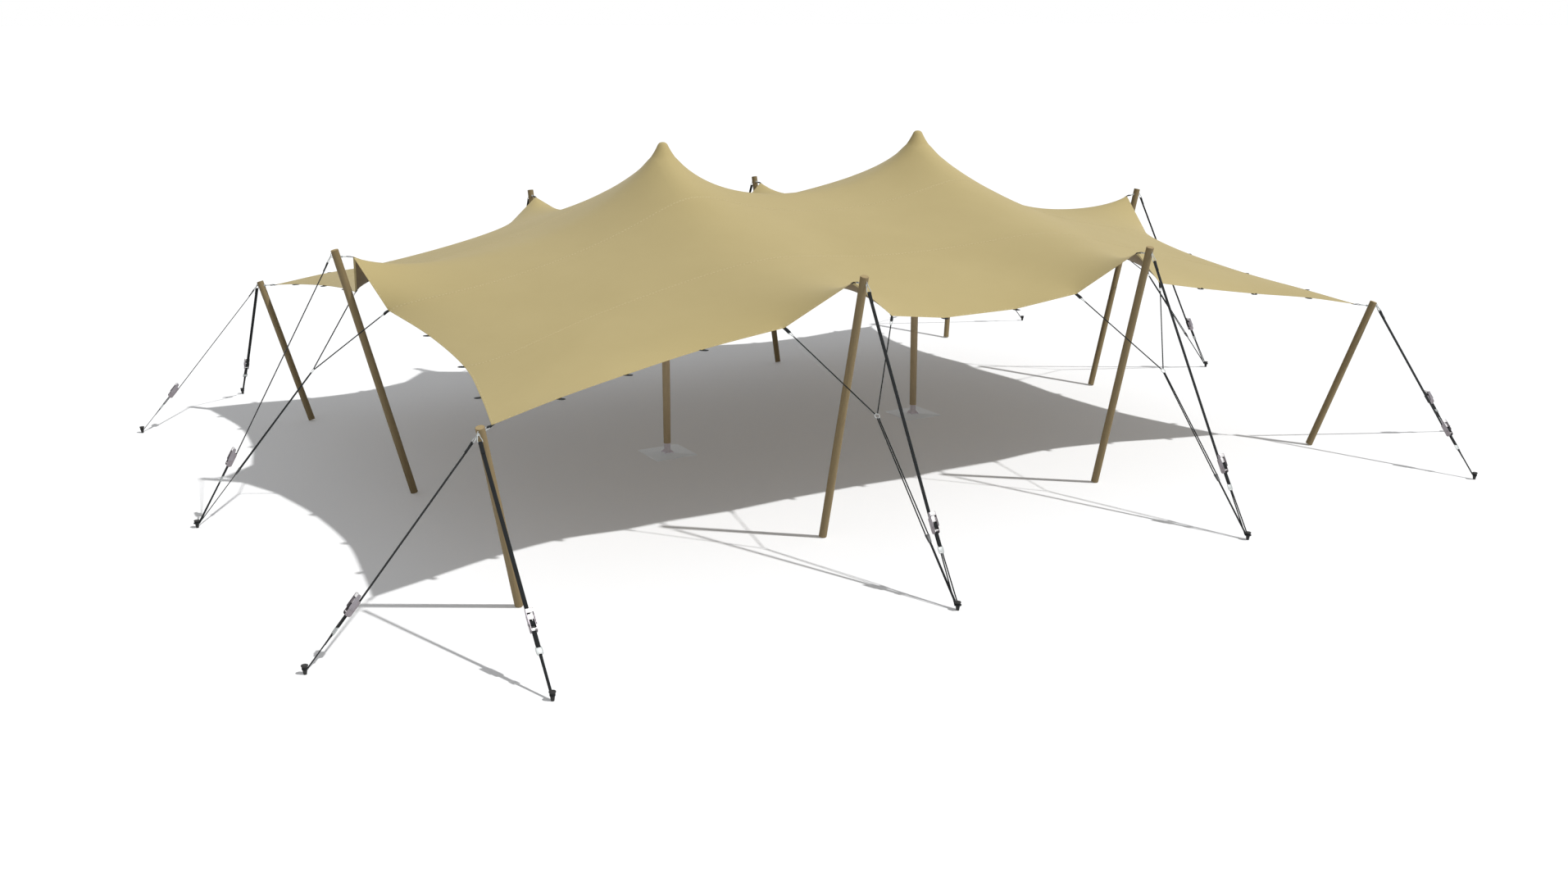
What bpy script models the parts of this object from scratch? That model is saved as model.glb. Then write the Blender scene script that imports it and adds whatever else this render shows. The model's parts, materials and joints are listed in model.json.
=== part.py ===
"""A 10 by 15 m stretch tent: one sewn sheet over twelve poles, tied down by fourteen straps.

Metres, +Z up. The origin is on the ground under the middle of the sheet.
+X runs along the sheet's long side, and -Y is its front.
"""

import math

import bmesh
import bpy
import numpy as np
from mathutils import Matrix, Vector

# Clearance between pieces that touch, and how far the solids of one piece run into each other
GAP = 0.0003
BITE = 0.003
TINY = 1e-6
UP = Vector((0, 0, 1))

# Sides of round bars, wires and ropes, and the angle from which an edge stays sharp
ROD_SIDES = 6
RING_SIDES = 8
WIRE_SIDES = 4
ROPE_SIDES = 5
SHARP_ANGLE = 40

# Sheet, as cut: its grid has a line every GRID and closer ones round each peak
SHEET_LENGTH = 15.0
SHEET_WIDTH = 10.0
SHEET_THICK = 0.010
GRID = 0.5
PEAK_PLACE = 2.5
PEAK_RINGS = (0.08, 0.14, 0.27)

# Sheet, as pitched: the peaks, and how far the cloth has dropped at each ring round them
PEAK_X = 2.458
PEAK_Z = 5.080
PEAK_DROPS = (0.050, 0.160, 0.310)

# Webbing that ties each pulled-out tip to its pole, sewn in under the sheet.
# It meets the pole this far below the pole's head.
TIP_SEAM = 0.06
TIP_LOOP_THICK = 0.008
TIP_BELOW = {"corner": 0.08, "side": 0.10, "end": 0.10}

# Where the hem's loops are pulled to, in the quarter at +X +Y.
# Each key is the loop's distance from the middle of its edge on the flat sheet.
LONG_HEM = {
    0.5: (0.630, 5.028, 2.942),
    1.5: (1.624, 5.188, 3.095),
    2.5: (2.466, 5.507, 3.677),
    3.5: (3.300, 5.165, 3.101),
    4.5: (4.388, 4.948, 2.893),
    5.5: (5.500, 5.043, 2.722),
    6.5: (6.492, 5.283, 2.601),
    7.5: (7.407, 5.459, 2.439),
}
SHORT_HEM = {
    0.0: (7.424, 0.000, 3.664),
    1.0: (7.211, 0.851, 3.001),
    2.0: (7.040, 2.096, 2.846),
    3.0: (7.030, 3.468, 2.690),
    4.0: (7.220, 4.600, 2.560),
    5.0: (7.407, 5.459, 2.439),
}
LONG_CREASES = (1.5, 2.5, 3.5)
SHORT_CREASES = (0.0, 1.0)

# Pull of the pitched cloth, as shares of its least pull across the width. Along the length and on
# the ridge it has one value between the peaks and another beyond them.
# Round a pulled point it is stronger, or weaker, by a share that fades with a reach.
PULL_ALONG = (1.10, 1.73)
PULL_ON_RIDGE = (16.8, 10.7)
BEYOND_REACH = 0.5
RIDGE_REACH = 0.252
PULL_OVER_PEAKS = 6.41
OVER_REACH = 2.465
PULLED_POINTS = {
    (PEAK_PLACE, 0.0): (-0.88, 1.18),
    (PEAK_PLACE, SHEET_WIDTH / 2): (11.0, 0.917),
    (SHEET_LENGTH / 2, SHEET_WIDTH / 2): (29.9, 1.008),
}

# Perimeter poles: foot and head of each kind's axis, in the quarter at +X +Y
POLE_R = 0.0575
POLE_SIDES = 24
POLE_AXES = {
    "corner": ((7.057, 5.111, 0.0), (7.619, 5.666, 2.489)),
    "side": ((2.500, 4.859, 0.0), (2.464, 5.761, 3.786)),
    "end": ((6.778, 0.0, 0.0), (7.682, 0.0, 3.781)),
}

# Centre poles, their rounded heads and their base plates
CENTRE_FOOT_X = 2.4945
CENTRE_FOOT_Z = 0.171
CENTRE_END_R = 0.060
CENTRE_MID_R = 0.066
CENTRE_STEPS = 6
HEAD_R = 0.066
HEAD_TIP_R = 0.020
HEAD_LENGTH = 0.11
HEAD_SWELL = 0.003
HEAD_EDGE = 0.02
HEAD_LIP = 0.004
HEAD_SIDES = 12
PLATE_SIDE = 0.733
PLATE_THICK = 0.008
SOCKET_R = 0.036
GUSSET_REACH = 0.110
GUSSET_HEIGHT = 0.090
GUSSET_THICK = 0.008
GUSSET_TIP = 0.012

# Stakes: where each is driven, in the quarter at +X +Y
STAKE_PLACES = {
    "corner_end": (9.807, 5.778),
    "corner_side": (7.715, 7.790),
    "side": (2.503, 7.965),
    "end": (9.916, 0.0),
}
STAKE_SIDES = 8
STAKE_PROFILE = (
    (0.112, 0.036),
    (0.107, 0.041),
    (0.094, 0.038),
    (0.087, 0.031),
    (0.045, 0.026),
    (0.0, 0.019),
)
NECK_Z = 0.070
NECK_R = float(np.interp(-NECK_Z, *zip(*((-height, radius) for height, radius in STAKE_PROFILE))))

# Straps, measured up from the stake along the strap
LOOP_WIRE = 0.009
LOOP_R = NECK_R + 1.5 * GAP + LOOP_WIRE
WEBBING_WIDTH = 0.050
WEBBING_THICK = 0.004
TAIL_WIDTH = 0.032
STRAND_R = 0.009
STRANDS_AT_STAKE = 0.046
STRANDS_AT_LINK = 0.022
STRAND_BITE = 0.012
LOWER_THICK = 0.0056
RATCHET_PLACE = {"corner": 0.69, "side": 0.89, "end": 0.89}
LINK_BELOW = 0.205
LINK_R = 0.036
LINK_WIRE = 0.007

# Hooks at the straps' upper ends: their eye's place below the pole's head, and half the space
# between the two hooks that share a corner's eye
HOOK_BELOW = {"corner": 0.045, "side": 0.080, "end": 0.065}
HOOK_HALF_SPACE = 0.008
HOOK_LENGTH = 0.120
HOOK_SHANK = 0.024
HOOK_HALF_WIDTH = 0.027
HOOK_R = 0.006

# Ratchet frames, measured from their stake end
FRAME_LENGTH = 0.210
FRAME_HEIGHT = 0.078
FRAME_HALF = 0.031
CHEEK_THICK = 0.004
BOLT_PLACE = 0.016
BOLT_R = 0.006
BAR_PLACE = 0.040
BAR_HEIGHT = 0.028
DRUM_PLACE = 0.103
DRUM_R = 0.034
DRUM_SIDES = 10
SPINDLE_R = 0.009

# Ratchet handles and the frame's cover plate, measured from the drum's axis
COVER_LOW = (0.045, 0.024)
COVER_HIGH = (0.100, 0.030)
HANDLE_CLEAR = 0.006
HANDLE_ARM = 0.003
HANDLE_BITE = 0.001
HANDLE_TAIL = 0.018
HANDLE_LENGTH = 0.172
HANDLE_LOW = -0.018
HANDLE_HIGH = 0.048
HANDLE_NECK = (0.105, 0.008)
GRIP_LENGTH = 0.047
GRIP_LOW = 0.016

# Bridles: the ring where each pair of ropes meets, in the quarter at +X +Y
BRIDLE_RINGS = {"side": (2.500, 6.150, 2.037), "end": (8.133, 0.0, 2.070)}
BRIDLE_RING_R = 0.034
BRIDLE_RING_WIRE = 0.006
BRIDLE_AT_RING = 0.022
BRIDLE_AT_BUCKLE = 0.042
BRIDLE_STRAND = 0.009
BRIDLE_STRAP_THICK = 0.0048
BUCKLE_PLACE = 0.89
BUCKLE_SIZE = (0.110, 0.062, 0.022)
ROPE_R = 0.009
ROPE_START = 0.018


def clear_scene():
    """Removes what the file starts with."""
    for item in list(bpy.data.objects):
        bpy.data.objects.remove(item)


def collection(name):
    """A collection of the scene."""
    group = bpy.data.collections.new(name)
    bpy.context.scene.collection.children.link(group)
    return group


def material(name, colour, roughness, metallic=0.0):
    """A plain Principled material."""
    made = bpy.data.materials.new(name)
    made.use_nodes = True
    shader = made.node_tree.nodes["Principled BSDF"]
    shader.inputs["Base Color"].default_value = (*colour, 1.0)
    shader.inputs["Roughness"].default_value = roughness
    shader.inputs["Metallic"].default_value = metallic
    return made


def node(name, mesh, place, finish):
    """A named part of the tent: a mesh at its place."""
    made = bpy.data.objects.new(name, mesh)
    made.matrix_world = place
    if not mesh.materials:
        mesh.materials.append(finish)
    TENT.objects.link(made)
    return made


def mirrored(point, side_x, side_y):
    """A point of the +X +Y quarter, carried to another quarter."""
    return Vector((point[0] * side_x, point[1] * side_y, point[2]))


def standing(low, high):
    """A placing at low whose +Z points to high."""
    turn = (high - low).to_track_quat("Z", "Y").to_matrix().to_4x4()
    return Matrix.Translation(low) @ turn


def helper(build):
    """A loose solid, filled in by build, that is joined to others later."""
    shape = bmesh.new()
    build(shape)
    mesh = bpy.data.meshes.new("helper")
    shape.to_mesh(mesh)
    shape.free()
    made = bpy.data.objects.new("helper", mesh)
    made.hide_render = True
    made.display_type = "WIRE"
    JOINING.objects.link(made)
    return made


def block(low, high, place=Matrix()):
    """A box between two corners."""
    low, high = Vector(low), Vector(high)
    size = Matrix.Diagonal((*(high - low), 1))
    return helper(lambda shape: bmesh.ops.create_cube(
        shape, size=1, matrix=place @ Matrix.Translation((low + high) / 2) @ size))


def flat_bar(start, end, width, thick, across):
    """A flat strap from start to end, whose width runs along across."""
    along = (end - start).normalized()
    normal = along.cross(across).normalized()
    side = normal.cross(along)
    turn = Matrix((along, side, normal)).transposed().to_4x4()
    length = (end - start).length
    place = Matrix.Translation(start) @ turn
    return block((0, -width / 2, -thick / 2), (length, width / 2, thick / 2), place)


def rod(start, end, radius, sides=ROD_SIDES):
    """A round bar from start to end."""
    start, end = Vector(start), Vector(end)
    length = (end - start).length
    place = standing(start, end) @ Matrix.Translation((0, 0, length / 2))
    return helper(lambda shape: bmesh.ops.create_cone(
        shape, cap_ends=True, segments=sides, radius1=radius, radius2=radius, depth=length, matrix=place))


def ring(centre, normal, radius, wire, sides=RING_SIDES):
    """A round ring of wire, its middle line at radius."""
    bpy.ops.mesh.primitive_torus_add(
        major_segments=sides, minor_segments=WIRE_SIDES, major_radius=radius, minor_radius=wire)
    made = bpy.context.object
    turn = Vector(normal).to_track_quat("Z", "Y").to_matrix().to_4x4()
    made.data.transform(Matrix.Translation(centre) @ turn)
    for group in made.users_collection:
        group.objects.unlink(made)
    JOINING.objects.link(made)
    made.hide_render = True
    made.display_type = "WIRE"
    return made


def evaluated(made):
    """The mesh of an object with its modifiers."""
    bpy.context.view_layer.update()
    graph = bpy.context.evaluated_depsgraph_get()
    return bpy.data.meshes.new_from_object(made.evaluated_get(graph))


def joined(first, others):
    """One mesh made of solids that overlap, which are used up."""
    group = collection("joined")
    for other in others:
        group.objects.link(other)
    join = first.modifiers.new("join", "BOOLEAN")
    join.operation = "UNION"
    join.solver = "EXACT"
    join.operand_type = "COLLECTION"
    join.collection = group
    mesh = evaluated(first)
    mesh.materials.clear()
    for used in [first, *others]:
        bpy.data.objects.remove(used)
    bpy.data.collections.remove(group)
    return mesh


def turned(name, profile, sides):
    """A mesh turned about Z from (height, radius) pairs that run from top to bottom."""
    top, bottom = profile[0][0], profile[-1][0]
    outline = [(0, top), *((radius, height) for height, radius in profile), (0, bottom)]
    shape = bmesh.new()
    points = [shape.verts.new((radius, 0, height)) for radius, height in outline]
    for start, end in zip(points, points[1:]):
        shape.edges.new((start, end))
    mesh = bpy.data.meshes.new(name)
    shape.to_mesh(mesh)
    shape.free()
    lathe = bpy.data.objects.new(name, mesh)
    JOINING.objects.link(lathe)
    screw = lathe.modifiers.new("turn", "SCREW")
    screw.steps = sides
    screw.render_steps = sides
    screw.use_merge_vertices = True
    screw.merge_threshold = 0.0001
    solid = evaluated(lathe)
    bpy.data.objects.remove(lathe)
    return solid


# Canopy

def grid_lines(half, extra):
    """Places of the grid's lines, from -half to half, with the extra ones on both sides."""
    regular = np.arange(0, half + GRID / 2, GRID)
    positive = sorted({round(float(place), 4) for place in [*regular, *extra]})
    return np.array([-place for place in reversed(positive) if place > 0] + positive)


def hem_point(loops, creases, place):
    """The hem at a place on its edge: a smooth curve through the loops, broken at each crease."""
    keys = sorted(loops)
    index = int(np.clip(np.searchsorted(keys, place, "right") - 1, 0, len(keys) - 2))
    near, far = keys[index], keys[index + 1]
    start, end = np.array(loops[near]), np.array(loops[far])
    chord = (end - start) / (far - near)
    slope_in, slope_out = chord, chord
    if index > 0 and near not in creases:
        before = keys[index - 1]
        slope_in = (end - np.array(loops[before])) / (far - before)
    if index < len(keys) - 2 and far not in creases:
        after = keys[index + 2]
        slope_out = (np.array(loops[after]) - start) / (after - near)
    share = (place - near) / (far - near)
    span = far - near
    return (
        (2 * share**3 - 3 * share**2 + 1) * start
        + (share**3 - 2 * share**2 + share) * span * slope_in
        + (3 * share**2 - 2 * share**3) * end
        + (share**3 - share**2) * span * slope_out
    )


def pull(along, across, lengthwise):
    """How hard the cloth pulls at a place on the flat sheet, along or across it."""
    from_peak = np.abs(along) - PEAK_PLACE
    if lengthwise:
        beyond = (1 + np.tanh(from_peak / BEYOND_REACH)) / 2
        share = PULL_ALONG[0] + (PULL_ALONG[1] - PULL_ALONG[0]) * beyond
        ridge = PULL_ON_RIDGE[0] + (PULL_ON_RIDGE[1] - PULL_ON_RIDGE[0]) * beyond
        band = ridge * np.exp(-((across / RIDGE_REACH) ** 2))
    else:
        share = 1.0
        band = PULL_OVER_PEAKS * np.exp(-((from_peak / OVER_REACH) ** 2))
    pulls = share + band
    for (place_x, place_y), (strength, reach) in PULLED_POINTS.items():
        off_x, off_y = np.abs(along) - place_x, np.abs(across) - place_y
        away = np.hypot(off_x, off_y) + TINY
        facing = (off_x if lengthwise else off_y) / away
        pulls = pulls + share * strength * np.exp(-away / reach) * facing**2
    return pulls


def pinned_points(columns, rows):
    """The grid's points with hem and peaks in place, and which of them are held there."""
    along, across = np.meshgrid(columns, rows, indexing="ij")
    points = np.stack([along, across, np.zeros_like(along)], axis=-1)
    held = np.zeros(along.shape, bool)
    for i, place in enumerate(columns):
        side = hem_point(LONG_HEM, LONG_CREASES, max(abs(place), min(LONG_HEM)))
        if abs(place) < min(LONG_HEM):
            side[0] = 0
        for j, way in ((0, -1), (-1, 1)):
            points[i, j] = side * (np.sign(place), way, 1)
            held[i, j] = True
    for j, place in enumerate(rows):
        side = hem_point(SHORT_HEM, SHORT_CREASES, abs(place))
        for i, way in ((0, -1), (-1, 1)):
            points[i, j] = side * (way, np.sign(place), 1)
            held[i, j] = True
    for way in (-1, 1):
        off_x, off_y = along - way * PEAK_PLACE, across
        away = np.hypot(off_x, off_y)
        near = away < PEAK_RINGS[-1] + TINY
        drop = np.interp(away, (0, *PEAK_RINGS), (0, *PEAK_DROPS))
        cone = np.stack([way * PEAK_X + off_x, off_y, PEAK_Z - drop], axis=-1)
        points[near] = cone[near]
        held |= near
    return points, held


def pitched_sheet(columns, rows):
    """The grid's points once every free one hangs in balance between its neighbours."""
    points, held = pinned_points(columns, rows)
    half_x = np.gradient(columns)
    half_y = np.gradient(rows)
    half_x[[0, -1]] /= 2
    half_y[[0, -1]] /= 2
    number = np.arange(points.shape[0] * points.shape[1]).reshape(points.shape[:2])
    mid_x, at_y = np.meshgrid((columns[:-1] + columns[1:]) / 2, rows, indexing="ij")
    at_x, mid_y = np.meshgrid(columns, (rows[:-1] + rows[1:]) / 2, indexing="ij")
    along = pull(mid_x, at_y, True) * half_y[None, :] / np.diff(columns)[:, None]
    across = pull(at_x, mid_y, False) * half_x[:, None] / np.diff(rows)[None, :]
    start = np.concatenate([number[:-1].ravel(), number[:, :-1].ravel()])
    end = np.concatenate([number[1:].ravel(), number[:, 1:].ravel()])
    stiff = np.concatenate([along.ravel(), across.ravel()])
    balance = np.zeros((number.size, number.size))
    np.add.at(balance, (start, start), stiff)
    np.add.at(balance, (end, end), stiff)
    np.add.at(balance, (start, end), -stiff)
    np.add.at(balance, (end, start), -stiff)
    places = points.reshape(-1, 3)
    fixed = held.ravel()
    force = -balance[np.ix_(~fixed, fixed)] @ places[fixed]
    places[~fixed] = np.linalg.solve(balance[np.ix_(~fixed, ~fixed)], force)
    return places.reshape(points.shape)


def tip_loops():
    """The webbing that ties each pulled-out tip of the sheet to its pole."""
    loops = []
    for kind, side_x, side_y in POLES.values():
        tip = mirrored(TIPS[kind], side_x, side_y)
        foot, head = pole_axis(kind, side_x, side_y)
        axis = (head - foot).normalized()
        meets = head - axis * TIP_BELOW[kind]
        outward = (meets - tip).normalized()
        inside = tip - outward * TIP_SEAM
        slant = axis.angle(outward)
        reach = (POLE_R + GAP + TIP_LOOP_THICK / 2 * abs(math.cos(slant))) / math.sin(slant)
        skin = meets - outward * reach
        loops.append(flat_bar(inside, skin, WEBBING_WIDTH, TIP_LOOP_THICK, axis.cross(outward)))
    return loops


def add_canopy():
    """The sheet with its ten tip loops."""
    beside_peaks = [PEAK_PLACE + way * away for away in PEAK_RINGS for way in (-1, 1)]
    columns = grid_lines(SHEET_LENGTH / 2, beside_peaks)
    rows = grid_lines(SHEET_WIDTH / 2, PEAK_RINGS)
    places = pitched_sheet(columns, rows)
    spans = len(columns) - 1, len(rows) - 1

    def sheet(shape):
        bmesh.ops.create_grid(shape, x_segments=spans[0], y_segments=spans[1], size=1)
        for vert in shape.verts:
            i = round((vert.co.x + 1) / 2 * spans[0])
            j = round((vert.co.y + 1) / 2 * spans[1])
            vert.co = places[i, j]

    cloth = helper(sheet)
    shell = cloth.modifiers.new("thickness", "SOLIDIFY")
    shell.thickness = SHEET_THICK
    shell.offset = 0
    mesh = joined(cloth, tip_loops())
    mesh.shade_smooth()
    node("canopy", mesh, Matrix(), FABRIC)


# Poles

def pole_axis(kind, side_x, side_y):
    """Foot and head of a perimeter pole's axis, its lowest edge on the ground."""
    foot = mirrored(POLE_AXES[kind][0], side_x, side_y)
    head = mirrored(POLE_AXES[kind][1], side_x, side_y)
    lean = (head - foot).angle(UP)
    foot += (head - foot) * (POLE_R * math.sin(lean) / head.z)
    return foot, head


def add_perimeter_pole(name, kind, side_x, side_y):
    """A round pole that leans outwards, with square-cut ends."""
    foot, head = pole_axis(kind, side_x, side_y)
    length = (head - foot).length
    shape = bmesh.new()
    bmesh.ops.create_cone(shape, cap_ends=True, segments=POLE_SIDES, radius1=POLE_R, radius2=POLE_R,
                          depth=length, matrix=Matrix.Translation((0, 0, length / 2)))
    mesh = bpy.data.meshes.new(name)
    shape.to_mesh(mesh)
    shape.free()
    mesh.shade_smooth()
    mesh.set_sharp_from_angle(angle=math.radians(SHARP_ANGLE))
    node(name, mesh, standing(foot, head), WOOD)


def centre_pole_axis(side_x):
    """Foot of a centre pole on its socket, and its top under the rounded head."""
    foot = Vector((CENTRE_FOOT_X * side_x, 0, CENTRE_FOOT_Z + GAP))
    return foot, Vector((PEAK_X * side_x, 0, PEAK_Z - PEAK_DROPS[0] - HEAD_LENGTH))


def add_centre_pole(name, side_x):
    """A turned pole, thicker at mid height, with its rounded head under the sheet."""
    foot, top = centre_pole_axis(side_x)
    length = (top - foot).length
    swell = CENTRE_MID_R - CENTRE_END_R
    profile = []
    for step in range(CENTRE_STEPS + 1):
        share = 1 - step / CENTRE_STEPS
        profile.append((length * share, CENTRE_END_R + swell * math.sin(math.pi * share)))
    node("centre_pole_" + name, turned("centre_pole", profile, POLE_SIDES), standing(foot, top), WOOD)


def add_pole_head(name, side_x):
    """The rounded head that carries a peak of the sheet."""
    foot, pole_top = centre_pole_axis(side_x)
    corner = PEAK_RINGS[0] * math.sqrt(2)
    slope = float(np.interp(corner, PEAK_RINGS, PEAK_DROPS)) / corner
    top = PEAK_Z - pole_top.z - SHEET_THICK / 2 - 3 * GAP
    shoulder = top - slope * HEAD_R
    profile = [
        (top - slope * HEAD_TIP_R, HEAD_TIP_R),
        (shoulder, HEAD_R),
        (shoulder - HEAD_EDGE, HEAD_R + HEAD_SWELL),
        (GAP + HEAD_EDGE, HEAD_R),
        (GAP, CENTRE_END_R + HEAD_LIP),
    ]
    place = Matrix.Translation(pole_top - foot) @ standing(foot, pole_top)
    node("pole_head_" + name, turned("pole_head", profile, HEAD_SIDES), place, HEAD)


def add_base_plate(name, side_x):
    """A square plate with the socket and four gussets that the centre pole stands on."""
    half = PLATE_SIDE / 2
    plate = block((-half, -half, 0), (half, half, PLATE_THICK))
    socket = rod((0, 0, PLATE_THICK / 2), (0, 0, CENTRE_FOOT_Z), SOCKET_R, POLE_SIDES)
    gussets = []
    for quarter in range(4):
        turn = Matrix.Rotation(math.radians(45 + 90 * quarter), 4, "Z")

        def wedge(shape, turn=turn):
            low, high = PLATE_THICK / 2, PLATE_THICK + GUSSET_HEIGHT
            tip = PLATE_THICK + GUSSET_TIP
            corners = ((0, low), (GUSSET_REACH, low), (GUSSET_REACH, tip), (SOCKET_R, high), (0, high))
            face = shape.faces.new([shape.verts.new((x, -GUSSET_THICK / 2, z)) for x, z in corners])
            made = bmesh.ops.extrude_face_region(shape, geom=[face])
            moved = [item for item in made["geom"] if isinstance(item, bmesh.types.BMVert)]
            bmesh.ops.translate(shape, verts=moved, vec=(0, GUSSET_THICK, 0))
            bmesh.ops.recalc_face_normals(shape, faces=shape.faces)
            bmesh.ops.transform(shape, matrix=turn, verts=shape.verts)

        gussets.append(helper(wedge))
    mesh = joined(plate, [socket, *gussets])
    node("base_plate_" + name, mesh, Matrix.Translation((CENTRE_FOOT_X * side_x, 0, 0)), STEEL)


# Stakes, straps and ratchets

def strap_ends(pole, side_x, side_y, stake):
    """Where a strap starts at its stake's neck and ends at its pole's skin, on the side it leans to."""
    foot, head = pole_axis(pole, side_x, side_y)
    axis = (head - foot).normalized()
    neck = mirrored((*STAKE_PLACES[stake], NECK_Z), side_x, side_y)
    outward = (Vector((axis.x, axis.y, 0)) - axis * (1 - axis.z**2)).normalized()
    beneath = head - axis * HOOK_BELOW[pole]
    eye = beneath + outward * (POLE_R + GAP)
    if pole == "corner":
        beside = axis.cross(outward)
        turn = math.copysign(HOOK_HALF_SPACE / POLE_R, beside.dot(neck - eye))
        outward = (outward + beside * turn).normalized()
    slant = (neck - eye).angle(outward)
    end = beneath + outward * (POLE_R + GAP + HOOK_R * math.sin(slant))
    level = Vector((end.x - neck.x, end.y - neck.y, 0)).normalized()
    return neck + level * LOOP_R, end


def strap_frame(start, end):
    """A placing at start with +X along the strap and +Z on its outer side."""
    along = (end - start).normalized()
    across = UP.cross(along).normalized()
    outer = along.cross(across)
    turn = Matrix((along, across, outer)).transposed().to_4x4()
    return Matrix.Translation(start) @ turn


def neck_loop(place):
    """Middle of the loop round a stake's neck, and the level way to its strap, in the strap's frame."""
    level = place.col[0].to_3d()
    level.z = 0
    toward = place.inverted().to_3x3() @ level.normalized()
    return toward * -LOOP_R, toward


def strap_pieces(length, at, strands, place):
    """The solids of a strap with its ratchet frame, along +X, with the frame starting at a place."""
    link = at - LINK_BELOW
    drum = at + DRUM_PLACE
    half = WEBBING_WIDTH / 2
    thick = WEBBING_THICK / 2
    cheek = FRAME_HALF + CHEEK_THICK
    spindle = cheek + HANDLE_CLEAR - GAP
    hook_start = length - HOOK_LENGTH
    low_end = link - LINK_R
    neck, toward = neck_loop(place)
    upright = place.inverted().to_3x3() @ UP
    pieces = [ring(neck, upright, LOOP_R, LOOP_WIRE, STAKE_SIDES)]
    pieces.append(ring((link, 0, 0), UP, LINK_R, LINK_WIRE))
    if strands == 1:
        pieces.append(block((-BITE, -TAIL_WIDTH / 2, -thick), (low_end + BITE, TAIL_WIDTH / 2, thick)))
    else:
        for side in (-1, 1):
            aside = Vector((0, side * STRANDS_AT_STAKE / 2, 0))
            low = neck + toward * math.sqrt(LOOP_R**2 - aside.y**2) + aside
            top = (low_end + STRAND_BITE, side * STRANDS_AT_LINK / 2, 0)
            pieces.append(rod(low, top, STRAND_R, ROPE_SIDES))
    low_webbing = link + LINK_R - BITE
    pieces.append(block((low_webbing, -half, -LOWER_THICK / 2), (at + BOLT_PLACE, half, LOWER_THICK / 2)))
    for side in (-1, 1):
        low, high = sorted((side * FRAME_HALF, side * cheek))
        pieces.append(block((at, low, -FRAME_HEIGHT / 2), (at + FRAME_LENGTH, high, FRAME_HEIGHT / 2)))
    bolt = at + BOLT_PLACE
    pieces.append(rod((bolt, HANDLE_BITE - cheek, 0), (bolt, cheek - HANDLE_BITE, 0), BOLT_R))
    inner = FRAME_HALF + HANDLE_BITE
    bar = at + BAR_PLACE
    pieces.append(rod((bar, -inner, BAR_HEIGHT), (bar, inner, BAR_HEIGHT), BOLT_R))
    cover_low = (drum + COVER_LOW[0], -inner, COVER_LOW[1])
    pieces.append(block(cover_low, (drum + COVER_HIGH[0], inner, COVER_HIGH[1])))
    pieces.append(rod((drum, -inner, 0), (drum, inner, 0), DRUM_R, DRUM_SIDES))
    pieces.append(rod((drum, -spindle, 0), (drum, spindle, 0), SPINDLE_R))
    pieces.append(block((drum, -half, -thick), (hook_start, half, thick)))
    shank = length - HOOK_SHANK
    pieces.append(rod((shank, 0, 0), (length, 0, 0), HOOK_R))
    for side in (-1, 1):
        pieces.append(rod((hook_start, side * HOOK_HALF_WIDTH, 0), (shank + BITE, 0, 0), HOOK_R))
    bar_end = HOOK_HALF_WIDTH + BITE
    pieces.append(rod((hook_start, -bar_end, 0), (hook_start, bar_end, 0), HOOK_R))
    return pieces


def bridle_pieces(kind, side_x, side_y, place):
    """The solids of a bridle: ropes, ring, doubled strap, buckle and single strap."""
    back = place.inverted()
    meeting = back @ mirrored(BRIDLE_RINGS[kind], side_x, side_y)
    along = meeting.normalized()
    across = Vector((0, 1, 0))
    strap_normal = along.cross(across).normalized()
    buckle = along * BUCKLE_PLACE
    length, width, thick = BUCKLE_SIZE
    pieces = [
        flat_bar(along * -BITE, buckle, TAIL_WIDTH, BRIDLE_STRAP_THICK, across),
        flat_bar(buckle - along * length / 2, buckle + along * length / 2, width, thick, across),
        ring(meeting, strap_normal, BRIDLE_RING_R, BRIDLE_RING_WIRE),
    ]
    for side in (-1, 1):
        offset = across * (side * BRIDLE_AT_RING / 2)
        rim = math.sqrt(BRIDLE_RING_R**2 - offset.length_squared)
        low, high = buckle + across * (side * BRIDLE_AT_BUCKLE / 2), meeting - along * rim + offset
        pieces.append(rod(low, high, BRIDLE_STRAND, ROPE_SIDES))
        hook = back @ bridle_hook(kind, side_x, side_y, side)
        toward = (hook - meeting).normalized()
        low, high = meeting + toward * (BRIDLE_RING_R - BITE), hook - toward * ROPE_START
        pieces.append(rod(low, high, ROPE_R, ROPE_SIDES))
    return pieces


def bridle_hook(kind, side_x, side_y, side):
    """The hem loop that one rope of a bridle is tied to."""
    if kind == "end":
        return mirrored(SHORT_HEM[1.0], side_x, side)
    return mirrored(LONG_HEM[1.5 if side > 0 else 3.5], side_x, side_y)


def handle_mesh():
    """A ratchet handle that lies back along the strap, hinged at the origin."""
    inner = FRAME_HALF + CHEEK_THICK + HANDLE_CLEAR
    outer = inner + HANDLE_ARM
    arms = []
    neck_x, neck_z = HANDLE_NECK
    for side in (-1, 1):
        low, high = sorted((side * inner, side * outer))
        arms.append(block((-HANDLE_TAIL, low, HANDLE_LOW), (neck_x, high, HANDLE_HIGH)))
        arms.append(block((neck_x - HANDLE_TAIL, low, neck_z), (HANDLE_LENGTH, high, HANDLE_HIGH)))
    start = HANDLE_LENGTH - GRIP_LENGTH
    wide = inner + HANDLE_BITE
    end = HANDLE_LENGTH - 2 * HANDLE_BITE
    grip = block((start, -wide, GRIP_LOW), (end, wide, HANDLE_HIGH - 2 * HANDLE_BITE))
    return joined(arms[0], [*arms[1:], grip])


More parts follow.
